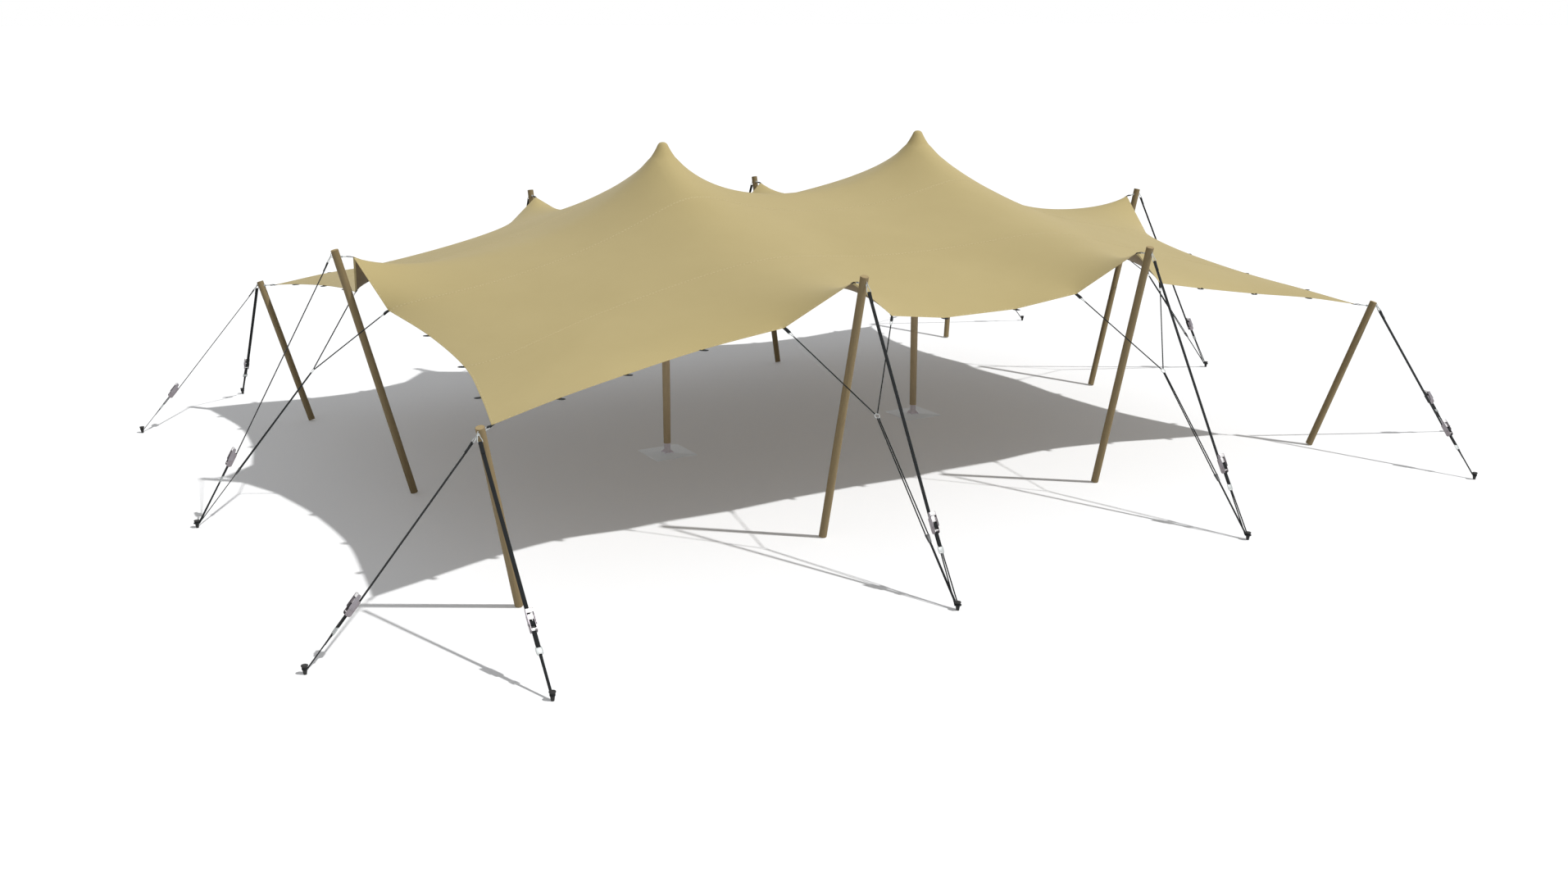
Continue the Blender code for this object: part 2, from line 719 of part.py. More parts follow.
def add_strap(name, pole, stake, side_x, side_y):
    """A stake, the strap from it to the pole, and the handle of its ratchet."""
    start, end = strap_ends(pole, side_x, side_y, stake)
    place = strap_frame(start, end)
    at = RATCHET_PLACE[pole]
    strands = 1 if pole == "corner" else 2
    pieces = strap_pieces((end - start).length, at, strands, place)
    if pole != "corner":
        pieces += bridle_pieces(pole, side_x, side_y, place)
    mesh = joined(pieces[0], pieces[1:])
    node("strap_" + name, mesh, place, WEBBING)
    node("ratchet_handle_" + name, HANDLE_MESH, place @ Matrix.Translation((at + DRUM_PLACE, 0, 0)), ZINC)
    ground = mirrored((*STAKE_PLACES[stake], 0), side_x, side_y)
    level = Vector((end.x - ground.x, end.y - ground.y, 0)).to_track_quat("X", "Z").to_matrix().to_4x4()
    node("stake_" + name, STAKE_MESH, Matrix.Translation(ground) @ level, IRON)


clear_scene()
TENT = collection("stretch_tent")
JOINING = collection("joining")

FABRIC = material("stretch_fabric", (0.53, 0.44, 0.22), 0.85)
WOOD = material("turned_wood", (0.19, 0.13, 0.07), 0.70)
HEAD = material("pole_head_rubber", (0.05, 0.05, 0.05), 0.80)
STEEL = material("base_plate_steel", (0.27, 0.32, 0.34), 0.45, 0.6)
WEBBING = material("black_webbing", (0.03, 0.032, 0.032), 0.90)
ZINC = material("zinc_plated_steel", (0.42, 0.38, 0.39), 0.40, 0.8)
IRON = material("black_iron", (0.02, 0.022, 0.022), 0.60, 0.4)

TIPS = {"corner": LONG_HEM[7.5], "side": LONG_HEM[2.5], "end": SHORT_HEM[0.0]}
ENDS = {"left": -1, "right": 1}
SIDES = {"front": -1, "back": 1}
POLES = {}
for across_name, way_y in SIDES.items():
    for along_name, way_x in ENDS.items():
        POLES[f"corner_{across_name}_{along_name}"] = ("corner", way_x, way_y)
        POLES[f"{across_name}_{along_name}"] = ("side", way_x, way_y)
for along_name, way_x in ENDS.items():
    POLES[f"end_{along_name}"] = ("end", way_x, 1)

HANDLE_MESH = handle_mesh()
STAKE_MESH = turned("stake", STAKE_PROFILE, STAKE_SIDES)

add_canopy()
for along_name, way_x in ENDS.items():
    add_centre_pole(along_name, way_x)
    add_pole_head(along_name, way_x)
    add_base_plate(along_name, way_x)
for pole_name, (pole_kind, way_x, way_y) in POLES.items():
    add_perimeter_pole("pole_" + pole_name, pole_kind, way_x, way_y)
    if pole_kind == "corner":
        add_strap(pole_name + "_side", pole_kind, "corner_side", way_x, way_y)
        add_strap(pole_name + "_end", pole_kind, "corner_end", way_x, way_y)
    else:
        add_strap(pole_name, pole_kind, pole_kind, way_x, way_y)
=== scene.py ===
# %% [markdown]
# A 10 by 15 m stretch tent: one sewn sheet of stretch fabric over twelve wooden poles, tied down by
# fourteen straps. The construction comes packed as a frame, which says where each pole stands, where
# each strap runs and where each ratchet handle turns. This script gives every piece its real form and
# finish, and takes every place from that frame.

import json
import math

import bmesh
import bpy
import numpy as np
from mathutils import Matrix, Vector


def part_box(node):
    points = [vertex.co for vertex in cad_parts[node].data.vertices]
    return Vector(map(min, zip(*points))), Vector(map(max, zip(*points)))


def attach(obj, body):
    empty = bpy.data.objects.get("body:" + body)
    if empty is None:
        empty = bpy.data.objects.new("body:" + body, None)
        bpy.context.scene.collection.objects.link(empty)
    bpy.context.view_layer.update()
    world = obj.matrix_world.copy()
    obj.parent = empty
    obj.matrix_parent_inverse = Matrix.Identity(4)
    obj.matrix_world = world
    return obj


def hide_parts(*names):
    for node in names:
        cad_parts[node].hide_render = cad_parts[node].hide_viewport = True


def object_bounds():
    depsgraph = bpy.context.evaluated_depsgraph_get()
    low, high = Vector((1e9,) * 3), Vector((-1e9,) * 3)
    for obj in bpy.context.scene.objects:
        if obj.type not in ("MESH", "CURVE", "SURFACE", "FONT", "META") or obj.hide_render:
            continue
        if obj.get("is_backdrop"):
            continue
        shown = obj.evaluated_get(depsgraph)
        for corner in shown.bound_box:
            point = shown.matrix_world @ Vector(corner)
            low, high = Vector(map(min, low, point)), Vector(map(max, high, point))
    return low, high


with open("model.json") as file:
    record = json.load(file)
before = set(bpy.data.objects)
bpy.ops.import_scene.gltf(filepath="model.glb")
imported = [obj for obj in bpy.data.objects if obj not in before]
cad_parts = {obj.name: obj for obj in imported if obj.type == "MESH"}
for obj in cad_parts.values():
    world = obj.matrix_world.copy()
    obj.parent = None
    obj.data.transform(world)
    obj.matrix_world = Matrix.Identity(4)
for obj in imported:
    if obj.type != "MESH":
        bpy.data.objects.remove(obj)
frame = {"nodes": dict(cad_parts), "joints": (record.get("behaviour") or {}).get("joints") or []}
CAD_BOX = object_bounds()
NODES = frame["nodes"]
UP = Vector((0, 0, 1))
print(len(NODES), "nodes in a box of", [round(size, 2) for size in CAD_BOX[1] - CAD_BOX[0]], "m")

# %% [markdown]
# The camera stands to the front left, a little above the hem, and looks slightly down. Its focal length
# is known in pixels of the picture, so the lens follows from the picture's width and the sensor's.

# %% The camera
PICTURE_WIDTH = 1913
SENSOR_WIDTH = 36
FOCAL_PIXELS = 1820.59
CAMERA_PLACE = (-12.9901, -21.4710, 6.9667)
CAMERA_DOWN = 0.2764
CAMERA_TURN = 0.5359
FAR_CLIP = 3000


def in_scene(name, data):
    """An object round its data, linked into the scene."""
    made = bpy.data.objects.new(name, data)
    bpy.context.scene.collection.objects.link(made)
    return made


def fresh(operator, **settings):
    """What an operator for a primitive makes, with nothing else selected."""
    bpy.ops.object.select_all(action="DESELECT")
    operator(**settings)
    return bpy.context.object


lens = bpy.data.cameras.new("camera")
lens.sensor_width = SENSOR_WIDTH
lens.lens = SENSOR_WIDTH * FOCAL_PIXELS / PICTURE_WIDTH
lens.clip_end = FAR_CLIP
camera = in_scene("camera", lens)
camera.location = CAMERA_PLACE
camera.rotation_euler = (math.pi / 2 - CAMERA_DOWN, 0, -CAMERA_TURN)
bpy.context.scene.camera = camera
print("lens", round(lens.lens, 2), "mm")

# %% [markdown]
# The light is a plain studio: a lamp from high on the front right, soft enough to blur the shadow's edge
# a little, an even white room round it, and a faint fill from above that casts no shadow, so that the
# ground under the tent stays a clear grey. Matt surfaces get only part of the room's light, while metal
# mirrors it as white as it looks. The tones are shown without a film curve, so that a pale floor in full
# light comes out white.

# %% The light
LAMP_DIRECTION = (-0.46, 0.64, -1.0)
LAMP_STRENGTH = 3.0
FILL_DIRECTION = (0, 0, -1)
FILL_STRENGTH = 0.38
FILL_COLOUR = (0.88, 0.93, 1.0)
LAMP_SIZE = math.radians(1.2)
ROOM_LIGHT = 0.30


def lamp(name, strength, direction, casts_shadow, tint=(1, 1, 1)):
    """A distant lamp that shines in one direction."""
    data = bpy.data.lights.new(name, "SUN")
    data.energy = strength
    data.color = tint
    data.angle = LAMP_SIZE
    data.use_shadow = casts_shadow
    made = in_scene(name, data)
    made.rotation_euler = Vector(direction).to_track_quat("-Z", "Y").to_euler()


lamp("lamp", LAMP_STRENGTH, LAMP_DIRECTION, True)
lamp("fill", FILL_STRENGTH, FILL_DIRECTION, False, FILL_COLOUR)

room = bpy.data.worlds.new("room")
room.use_nodes = True
wall = room.node_tree.nodes["Background"]
wall.inputs["Color"].default_value = (1, 1, 1, 1)
ray = room.node_tree.nodes.new("ShaderNodeLightPath")
level = room.node_tree.nodes.new("ShaderNodeMapRange")
level.inputs["To Min"].default_value = 1.0
level.inputs["To Max"].default_value = ROOM_LIGHT
room.node_tree.links.new(ray.outputs["Is Diffuse Ray"], level.inputs["Value"])
room.node_tree.links.new(level.outputs["Result"], wall.inputs["Strength"])
bpy.context.scene.world = room
bpy.context.scene.view_settings.view_transform = "Standard"
print("lamp", LAMP_STRENGTH, "fill", FILL_STRENGTH, "room", ROOM_LIGHT)

# %% [markdown]
# Each finish is a small tree of nodes round one Principled shader. A few helpers do all the wiring. One
# turns a colour as a painter would write it into the linear light that the shader wants, one adds a node
# with its settings and links, and one ends each finish alike, with its tones and its relief.

# %% Helpers for the finishes
MIX_SHARE, MIX_A, MIX_B, MIX_RESULT = 0, 6, 7, 2
WAVE_TURN = 2 * math.pi / 20


def colour(code):
    """The linear colour of an sRGB hex code."""
    parts = [int(code[place:place + 2], 16) / 255 for place in (1, 3, 5)]
    return (*(part / 12.92 if part <= 0.04045 else ((part + 0.055) / 1.055) ** 2.4 for part in parts), 1)


def add(tree, kind, links=None, **settings):
    """Adds a node, sets its properties, and links or sets its inputs."""
    made = tree.nodes.new(kind)
    for name, value in settings.items():
        setattr(made, name, value)
    for socket, value in (links or {}).items():
        if isinstance(value, bpy.types.NodeSocket):
            tree.links.new(value, made.inputs[socket])
        else:
            made.inputs[socket].default_value = value
    return made


def new_finish(name, roughness, metallic=0.0, **sockets):
    """A material with its tree and shader, the even values set on the shader itself."""
    made = bpy.data.materials.new(name)
    made.use_nodes = True
    shader = made.node_tree.nodes["Principled BSDF"]
    shader.inputs["Roughness"].default_value = roughness
    shader.inputs["Metallic"].default_value = metallic
    for socket, value in sockets.items():
        shader.inputs[socket.replace("_", " ")].default_value = value
    return made, made.node_tree, shader


def own_places(tree):
    """The piece's own coordinates, from before it was placed."""
    return add(tree, "ShaderNodeAttribute", attribute_name="pattern").outputs["Vector"]


def map_places(tree, name):
    """The places of a piece's own map, in metres."""
    return add(tree, "ShaderNodeUVMap", uv_map=name).outputs["UV"]


def noise(tree, places, scale, detail, roughness=0.5):
    """A soft cloud whose patches are a metre over the scale wide."""
    links = {"Vector": places, "Scale": scale, "Detail": detail, "Roughness": roughness}
    return add(tree, "ShaderNodeTexNoise", links).outputs["Fac"]


def waves(tree, places, size, distortion=0.0, **settings):
    """Bands or rings of a size in metres."""
    links = {"Vector": places, "Scale": WAVE_TURN / size, "Distortion": distortion}
    return add(tree, "ShaderNodeTexWave", links, **settings).outputs["Fac"]


def combined(tree, operation, first, second):
    """Two values added or multiplied."""
    return add(tree, "ShaderNodeMath", {0: first, 1: second}, operation=operation).outputs[0]


def mixed(tree, share, first, second):
    """The tone at a share of the way from the first to the second."""
    links = {MIX_SHARE: share, MIX_A: first, MIX_B: second}
    return add(tree, "ShaderNodeMix", links, data_type="RGBA").outputs[MIX_RESULT]


def surface(tree, shader, share, first, second, height, strength, depth):
    """Ends a finish: a share leads from the first tone to the second, and a height gives the relief."""
    tree.links.new(mixed(tree, share, first, second), shader.inputs["Base Color"])
    bump = add(tree, "ShaderNodeBump", {"Height": height, "Strength": strength, "Distance": depth})
    tree.links.new(bump.outputs["Normal"], shader.inputs["Normal"])


# %% [markdown]
# The floor is a wide pale sheet. It only catches the shadow, so its grain is barely there. It ends far
# behind the tent, above the picture's upper edge.

# %% The floor
FLOOR_HALF = 1200
FLOOR_DROP = 0.001
FLOOR_TONES = ((0.92, 0.92, 0.92, 1), (0.93, 0.93, 0.93, 1))
FLOOR_CLOUD = 0.4

floor_finish, tree, shader = new_finish("matt_studio_floor", 0.9)
spot = add(tree, "ShaderNodeTexCoord").outputs["Object"]
tone = mixed(tree, noise(tree, spot, FLOOR_CLOUD, 2.0), *FLOOR_TONES)
tree.links.new(tone, shader.inputs["Base Color"])

floor = fresh(bpy.ops.mesh.primitive_plane_add, size=2 * FLOOR_HALF, location=(0, 0, -FLOOR_DROP))
floor.name = "studio_floor"
floor.data.materials.append(floor_finish)
floor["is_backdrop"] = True
print("floor", 2 * FLOOR_HALF, "m across")

# %% [markdown]
# The sheet is a four-way stretch polyester, knitted and coated. From above it is a matt sand colour with
# hardly any cloud in it, and it has the fine cross ribs of the knit. The real ribs are about 1.5 mm
# apart, which no picture of a whole tent can show, so they are drawn 6 mm apart and very shallow. The
# pattern follows the sheet as it was cut, through a UV map in metres.

# %% Stretch fabric, the upper face
RIB = 0.006
CLOUD, FLECK = 0.5, 140.0


def stretch_fabric(name, light, dark, roughness):
    """Knitted and coated polyester: a soft cloud of two near tones and shallow ribs."""
    made, tree, shader = new_finish(name, roughness, Sheen_Weight=0.12, Sheen_Roughness=0.5,
                                    Specular_IOR_Level=0.25)
    cut = map_places(tree, "flat")
    both = combined(tree, "ADD", noise(tree, cut, CLOUD, 4.0, 0.55), noise(tree, cut, FLECK, 1.0))
    share = add(tree, "ShaderNodeMapRange", {"Value": both, "From Min": 0.7, "From Max": 1.3}).outputs[0]
    ribs = waves(tree, cut, RIB, 0.4, bands_direction="Y")
    surface(tree, shader, share, colour(dark), colour(light), ribs, strength=0.25, depth=0.0006)
    return made


FABRIC_TOP = stretch_fabric("stretch_polyester_coated_face", "#B0A071", "#A89869", 0.82)
print(FABRIC_TOP.name)

# %% [markdown]
# The underside is the uncoated back of the knit. It is a warmer brown and a little rougher.

# %% Stretch fabric, the underside
FABRIC_BACK = stretch_fabric("stretch_polyester_knit_back", "#6F5E40", "#685739", 0.92)
print(FABRIC_BACK.name)

# %% [markdown]
# The sewing thread is bonded polyester a shade lighter than the sheet. Each stitch is its own small
# piece of geometry, so the thread only needs the twist of its two plies.

# %% Sewing thread
THREAD_PLY = 0.002

THREAD, tree, shader = new_finish("bonded_polyester_thread", 0.6, Sheen_Weight=0.1)
ply = waves(tree, map_places(tree, "flat"), THREAD_PLY, bands_direction="DIAGONAL")
surface(tree, shader, ply, colour("#B4A77C"), colour("#CFC297"), ply, strength=0.4, depth=0.0004)
print(THREAD.name)

# %% [markdown]
# The straps are flat woven polyester webbing, dyed black and greyed by sun. Its ribs run across, about
# 3 mm apart, and its warp runs along it in rows 6 mm apart. The map is in metres: across, then along.

# %% Woven webbing
WEFT = 0.003
WARP = 0.006
WORN = 25.0


def woven(name, light, dark, weft, warp):
    """Black woven or braided polyester whose ribs follow its own length."""
    made, tree, shader = new_finish(name, 0.88, Sheen_Weight=0.06, Specular_IOR_Level=0.15)
    weave = map_places(tree, "weave")
    across = waves(tree, weave, weft, bands_direction="Y")
    along = waves(tree, weave, warp, 1.0, bands_direction="X")
    height = combined(tree, "MULTIPLY", across, along)
    share = combined(tree, "MULTIPLY", height, noise(tree, weave, WORN, 3.0))
    surface(tree, shader, share, colour(dark), colour(light), height, strength=0.6, depth=0.0008)
    return made


WEBBING = woven("woven_polyester_webbing", "#2D3031", "#1B1D1E", WEFT, WARP)
ROPE = woven("braided_polyester_rope", "#343838", "#1F2223", WEFT * 2, WARP / 2)
print(WEBBING.name, ROPE.name)

# %% [markdown]
# The poles are turned hardwood, oiled and weathered to a grey brown. Wood shows long streaks along the
# grain and hardly any across it, so the noise is drawn out along the pole to many times its width. The
# pattern reads an attribute with the pole's own coordinates, because the poles lean in all directions.
# The centre poles stand in the sheet's shade, so their copy of the wood is painted lighter to make up for it.

# %% Turned wood
GRAIN_WIDTH = 0.012
GRAIN_STRETCH = 0.06
PATCH = 14.0


def turned_wood(name, dark, light, worn):
    """Oiled wood: streaks of two tones along the grain, and patches worn to a third tone."""
    made, tree, shader = new_finish(name, 0.62, Specular_IOR_Level=0.35)
    drawn_out = {"Vector": own_places(tree), "Scale": (1, 1, GRAIN_STRETCH)}
    stretched = add(tree, "ShaderNodeMapping", drawn_out).outputs[0]
    streak = noise(tree, stretched, 1 / GRAIN_WIDTH, 5.0, 0.6)
    patch = noise(tree, stretched, PATCH, 2.0)
    grain = mixed(tree, streak, colour(dark), colour(light))
    surface(tree, shader, patch, grain, colour(worn), streak, strength=0.5, depth=0.0015)
    return made


WOOD = turned_wood("turned_hardwood_oiled", "#4E4029", "#93805A", "#7A6A4A")
# The same wood painted lighter: painted light for the shade that the centre poles stand in.
PAINTED_LIGHT_WOOD = turned_wood("turned_hardwood_unweathered", "#7B694D", "#DBC49C", "#B6A382")
print(WOOD.name, PAINTED_LIGHT_WOOD.name)

# %% [markdown]
# The sawn ends show the year rings as circles round the pith, and are paler than the sides because
# they were cut later.

# %% Sawn end grain
YEAR_RING = 0.006

END_GRAIN, tree, shader = new_finish("sawn_end_grain", 0.8, Specular_IOR_Level=0.2)
rings = waves(tree, own_places(tree), YEAR_RING, 2.0, wave_type="RINGS", rings_direction="Z")
surface(tree, shader, rings, colour("#8A7856"), colour("#B09C74"), rings, strength=0.3, depth=0.0005)
print(END_GRAIN.name)

# %% [markdown]
# The ratchets are zinc plated and passivated, which gives a grey with a faint mauve cast. Their covers
# and grips are bright plated and nearly white, and rings and hooks are a duller white. The base plates
# are painted a pale grey on tubes with the same mauve cast. The stakes are black oxide iron with rust
# starting in the pits. One function makes them all: a spangle of cells, fine scratches and two tones.

# %% Steels
POLISHED, DULLED = 0.08, 0.12


def steel(name, light, dark, roughness, metallic, spangle, scratch):
    """Plated or oxidised steel: cells of zinc of a given size, and fine scratches."""
    made, tree, shader = new_finish(name, roughness, metallic)
    own = own_places(tree)
    cells = add(tree, "ShaderNodeTexVoronoi", {"Vector": own, "Scale": 1 / spangle}).outputs["Color"]
    wear = noise(tree, own, 1 / scratch, 4.0)
    rough = add(tree, "ShaderNodeMapRange", {"Value": wear, "To Min": roughness - POLISHED,
                                             "To Max": roughness + DULLED})
    tree.links.new(rough.outputs[0], shader.inputs["Roughness"])
    surface(tree, shader, combined(tree, "MULTIPLY", cells, wear), colour(light), colour(dark), wear,
            strength=0.25, depth=0.0005)
    return made


ZINC = steel("zinc_plated_steel", "#968F93", "#716B6F", 0.38, 0.85, 0.008, 0.004)
HANDLE_STEEL = steel("zinc_plated_steel_pressed", "#9A959A", "#797479", 0.34, 0.85, 0.010, 0.004)
BRIGHT = steel("bright_plated_steel", "#F0EEEE", "#C9C6C6", 0.22, 0.9, 0.012, 0.003)
WIRE = steel("galvanised_wire", "#B4B8B7", "#989C9B", 0.5, 0.35, 0.010, 0.004)
PLATE_PAINT = steel("painted_plate_steel", "#F6FAFD", "#E6ECF0", 0.55, 0.0, 0.022, 0.01)
TUBE = steel("galvanised_tube", "#E4DCE1", "#CFC5CB", 0.5, 0.0, 0.015, 0.006)
IRON = steel("black_oxide_iron", "#2A2C2D", "#3A332D", 0.6, 0.5, 0.010, 0.005)
print(ZINC.name, BRIGHT.name, WIRE.name, PLATE_PAINT.name, TUBE.name, IRON.name)

# %% [markdown]
# The buckles are moulded nylon and the pole heads are moulded rubber. Both carry the fine spark texture
# of their mould, about 1 mm across.

# %% Moulded nylon and rubber
MOULD_GRAIN = 0.001
SCUFF = 40.0


def moulded(name, light, dark, roughness):
    """A moulded plastic or rubber with its mould's fine texture."""
    made, tree, shader = new_finish(name, roughness)
    own = own_places(tree)
    surface(tree, shader, noise(tree, own, SCUFF, 3.0), colour(dark), colour(light),
            noise(tree, own, 1 / MOULD_GRAIN, 2.0), strength=0.3, depth=0.0003)
    return made


NYLON = moulded("moulded_nylon", "#2C2E2F", "#1D1F20", 0.5)
RUBBER = moulded("moulded_rubber", "#2A2928", "#1B1A1A", 0.85)
print(NYLON.name, RUBBER.name)

# %% [markdown]
# Now the helpers for modelling. Operators act on whatever is selected, so each one starts from a clear
# selection. Faces and edges are then picked in code, by their place.

# %% Helpers for modelling by operators
def only(made):
    """Leaves one object selected and active."""
    bpy.ops.object.select_all(action="DESELECT")
    made.select_set(True)
    bpy.context.view_layer.objects.active = made


def pick(made, kind, test):
    """Opens a mesh for editing with the vertices, edges or faces selected that pass a test."""
    only(made)
    bpy.ops.object.mode_set(mode="EDIT")
    bpy.context.tool_settings.mesh_select_mode = [kind == each for each in ("VERT", "EDGE", "FACE")]
    bpy.ops.mesh.select_all(action="DESELECT")
    shape = bmesh.from_edit_mesh(made.data)
    for item in {"VERT": shape.verts, "EDGE": shape.edges, "FACE": shape.faces}[kind]:
        item.select_set(test(item))
    shape.select_flush_mode()
    bmesh.update_edit_mesh(made.data)


def done():
    """Closes the mesh again."""
    bpy.ops.object.mode_set(mode="OBJECT")


def outwards(made):
    """Turns all faces of a piece outwards."""
    pick(made, "FACE", lambda face: True)
    bpy.ops.mesh.normals_make_consistent(inside=False)
    done()
    return made


def shift(made, test, offset):
    """Moves the corners of a piece that pass a test."""
    pick(made, "VERT", test)
    bpy.ops.transform.translate(value=offset)
    done()


def widen(made, test, shares):
    """Scales the corners of a piece that pass a test, about their middle."""
    pick(made, "VERT", test)
    bpy.ops.transform.resize(value=shares)
    done()


def settle(made):
    """Puts an object's place, turn and size into its mesh."""
    only(made)
    bpy.ops.object.transform_apply(location=True, rotation=True, scale=True)
    return made


def block(low, high):
    """A box between two corners."""
    low, high = Vector(low), Vector(high)
    made = fresh(bpy.ops.mesh.primitive_cube_add, size=1, location=(low + high) / 2)
    made.scale = high - low
    return settle(made)


def turned(profile, sides=24):
    """A round solid about Z, drawn upwards ring by ring from (height, radius) pairs."""
    height, radius = profile[0]
    made = fresh(bpy.ops.mesh.primitive_circle_add, vertices=sides, radius=radius, fill_type="NGON",
                 location=(0, 0, height))
    bpy.ops.object.mode_set(mode="EDIT")
    bpy.ops.mesh.select_all(action="SELECT")
    for next_height, next_radius in profile[1:]:
        bpy.ops.mesh.extrude_region_move(TRANSFORM_OT_translate={"value": (0, 0, next_height - height)})
        share = next_radius / radius
        bpy.ops.transform.resize(value=(share, share, 1))
        height, radius = next_height, next_radius
    done()
    return settle(outwards(made))


def upright(low, high):
    """A placing at low whose +Z points to high."""
    return Matrix.Translation(low) @ (high - low).to_track_quat("Z", "Y").to_matrix().to_4x4()


def rod(start, end, radius, sides=16, edge=0.0008):
    """A round bar between two points, its ends slightly broken."""
    start, end = Vector(start), Vector(end)
    length = (end - start).length
    made = turned([(0, radius - edge), (edge, radius), (length - edge, radius), (length, radius - edge)],
                  sides)
    made.data.transform(upright(start, end))
    return made


def soften(made, width, segments=2):
    """Breaks the sharp edges of a piece."""
    only(made)
    edges = made.modifiers.new("soft edges", "BEVEL")
    edges.width = width
    edges.segments = segments
    edges.limit_method = "ANGLE"
    bpy.ops.object.modifier_apply(modifier=edges.name)
    return made


def round_corners(made, test, radius, segments=4):
    """Rounds the edges of a piece that pass a test."""
    pick(made, "EDGE", test)
    bpy.ops.mesh.bevel(offset=radius, segments=segments, affect="EDGES")
    done()
    return made


def runs_along(axis):
    """A test for edges that run along X, Y or Z."""
    return lambda edge: abs((edge.verts[0].co - edge.verts[1].co).normalized()[axis]) > 0.99


SMOOTH_ANGLE = math.radians(35)


def together(pieces, name):
    """Joins pieces into one object with smooth round faces and crisp edges."""
    bpy.ops.object.select_all(action="DESELECT")
    for piece in pieces:
        piece.select_set(True)
    bpy.context.view_layer.objects.active = pieces[0]
    if len(pieces) > 1:
        bpy.ops.object.join()
    bpy.ops.object.shade_smooth_by_angle(angle=SMOOTH_ANGLE)
    pieces[0].name = name
    return pieces[0]


def coated(made, finish):
    """Gives a piece one finish."""
    made.data.materials.clear()
    made.data.materials.append(finish)
    return made


# %% [markdown]
# Masters are modelled once and copied. Each copy keeps the master's own coordinates in an attribute,
# shifted a little, so that its grain stays with it and no two copies look the same.

# %% Helpers for copies
PATTERN_SHIFT = Vector((0.37, 0.53, 0.71))
SHOWN = []


def with_pattern(made, number):
    """Stores a piece's own coordinates, before it is placed."""
    places = np.empty(len(made.data.vertices) * 3, np.float32)
    made.data.vertices.foreach_get("co", places)
    places = places.reshape(-1, 3) + np.array(PATTERN_SHIFT * number, np.float32)
    attribute = made.data.attributes.new("pattern", "FLOAT_VECTOR", "POINT")
    attribute.data.foreach_set("vector", places.ravel())
    return made


def placed(master, name, matrix):
    """A copy of a master, with its own mesh, at its place."""
    made = master.copy()
    made.data = master.data.copy()
    made.name = name
    bpy.context.scene.collection.objects.link(made)
    with_pattern(made, len(SHOWN))
    made.data.transform(matrix)
    return made


def show(made, body, slot, *nodes):
    """Sets a finished piece to ride on a body and hides the nodes that it stands for; slot is not used."""
    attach(made, body)
    if nodes:
        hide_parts(*nodes)
    SHOWN.append(made)
    return made


def stand(made, name, matrix, slot, node):
    """Moves a piece that was modelled at the origin to its place in the tent, and shows it for a node."""
    made.name = name
    with_pattern(made, len(SHOWN))
    made.data.transform(matrix)
    return show(made, "tent", slot, node)


def middle_of(node, height):
    """The middle of a node's box, at a height."""
    low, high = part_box(node)
    return Vector(((low.x + high.x) / 2, (low.y + high.y) / 2, height))


# %% [markdown]
# Webbing, ropes, hems and seams are all one outline drawn along a path. This sweep is the one mesh that
# is built by hand, because its width has to face a chosen way all along, and because it carries a map of
# its own length for the weave.

# %% Helper for sweeps
def unit(vectors):
    """Vectors of length one."""
    return vectors / np.linalg.norm(vectors, axis=-1, keepdims=True)


def ring_faces(stations, corners, closed):
    """The quads between neighbouring outlines of a sweep."""
    last = stations if closed else stations - 1
    return [(i * corners + k, i * corners + (k + 1) % corners,
             (i + 1) % stations * corners + (k + 1) % corners, (i + 1) % stations * corners + k)
            for i in range(last) for k in range(corners)]


def mesh_piece(name, points, faces, maps, map_name, finish):
    """A piece from points and faces, with a map and a finish, its faces outwards."""
    mesh = bpy.data.meshes.new(name)
    mesh.from_pydata(points.reshape(-1, 3).tolist(), [], faces)
    mesh.uv_layers.new(name=map_name).data.foreach_set("uv", maps.astype(np.float32).ravel())
    mesh.materials.append(finish)
    return outwards(in_scene(name, mesh))


def swept_mesh(name, rings, finish, closed=False, map_name="weave"):
    """A closed mesh through rings of points, with a map of metres round and along it."""
    stations, corners = rings.shape[:2]
    faces = ring_faces(stations, corners, closed)
    round_it = np.linalg.norm(np.diff(rings, axis=1, append=rings[:, :1]), axis=2).mean(axis=0)
    round_it = np.concatenate([[0], np.cumsum(round_it)])
    middle = rings.mean(axis=1)
    steps = np.linalg.norm(np.diff(middle, axis=0, append=middle[:1]), axis=1)
    along = np.concatenate([[0], np.cumsum(steps)])
    i, k = np.divmod(np.arange(len(faces)), corners)
    maps = np.stack([np.stack([round_it[k + over], along[i + on]], -1)
                     for over, on in ((0, 0), (1, 0), (1, 1), (0, 1))], 1).reshape(-1, 2)
    if not closed:
        faces += [tuple(range(corners)), tuple((stations - 1) * corners + k for k in range(corners))]
        maps = np.concatenate([maps, np.tile(maps[:1], (corners, 1)), np.tile(maps[-1:], (corners, 1))])
    return mesh_piece(name, rings, faces, maps, map_name, finish)


def sweep(name, path, across, outline, finish, closed=False):
    """An outline of (across, out) pairs along a path; across is the way that its width faces."""
    path = np.array(path, float)
    across = np.broadcast_to(np.array(across, float), path.shape)
    if closed:
        ahead = np.roll(path, -1, axis=0) - np.roll(path, 1, axis=0)
    else:
        ahead = np.gradient(path, axis=0)
    ahead = unit(ahead)
    out = unit(np.cross(ahead, across))
    wide = unit(np.cross(out, ahead))
    outline = np.array(outline)
    rings = (path[:, None] + outline[None, :, :1] * wide[:, None] + outline[None, :, 1:] * out[:, None])
    return swept_mesh(name, rings, finish, closed)


def flat_outline(width, thick):
    """A webbing's section: flat, with rounded edges."""
    half, rise = width / 2, thick / 2
    return [(half, rise / 2), (half - rise, rise), (rise - half, rise), (-half, rise / 2),
            (-half, -rise / 2), (rise - half, -rise), (half - rise, -rise), (half, -rise / 2)]


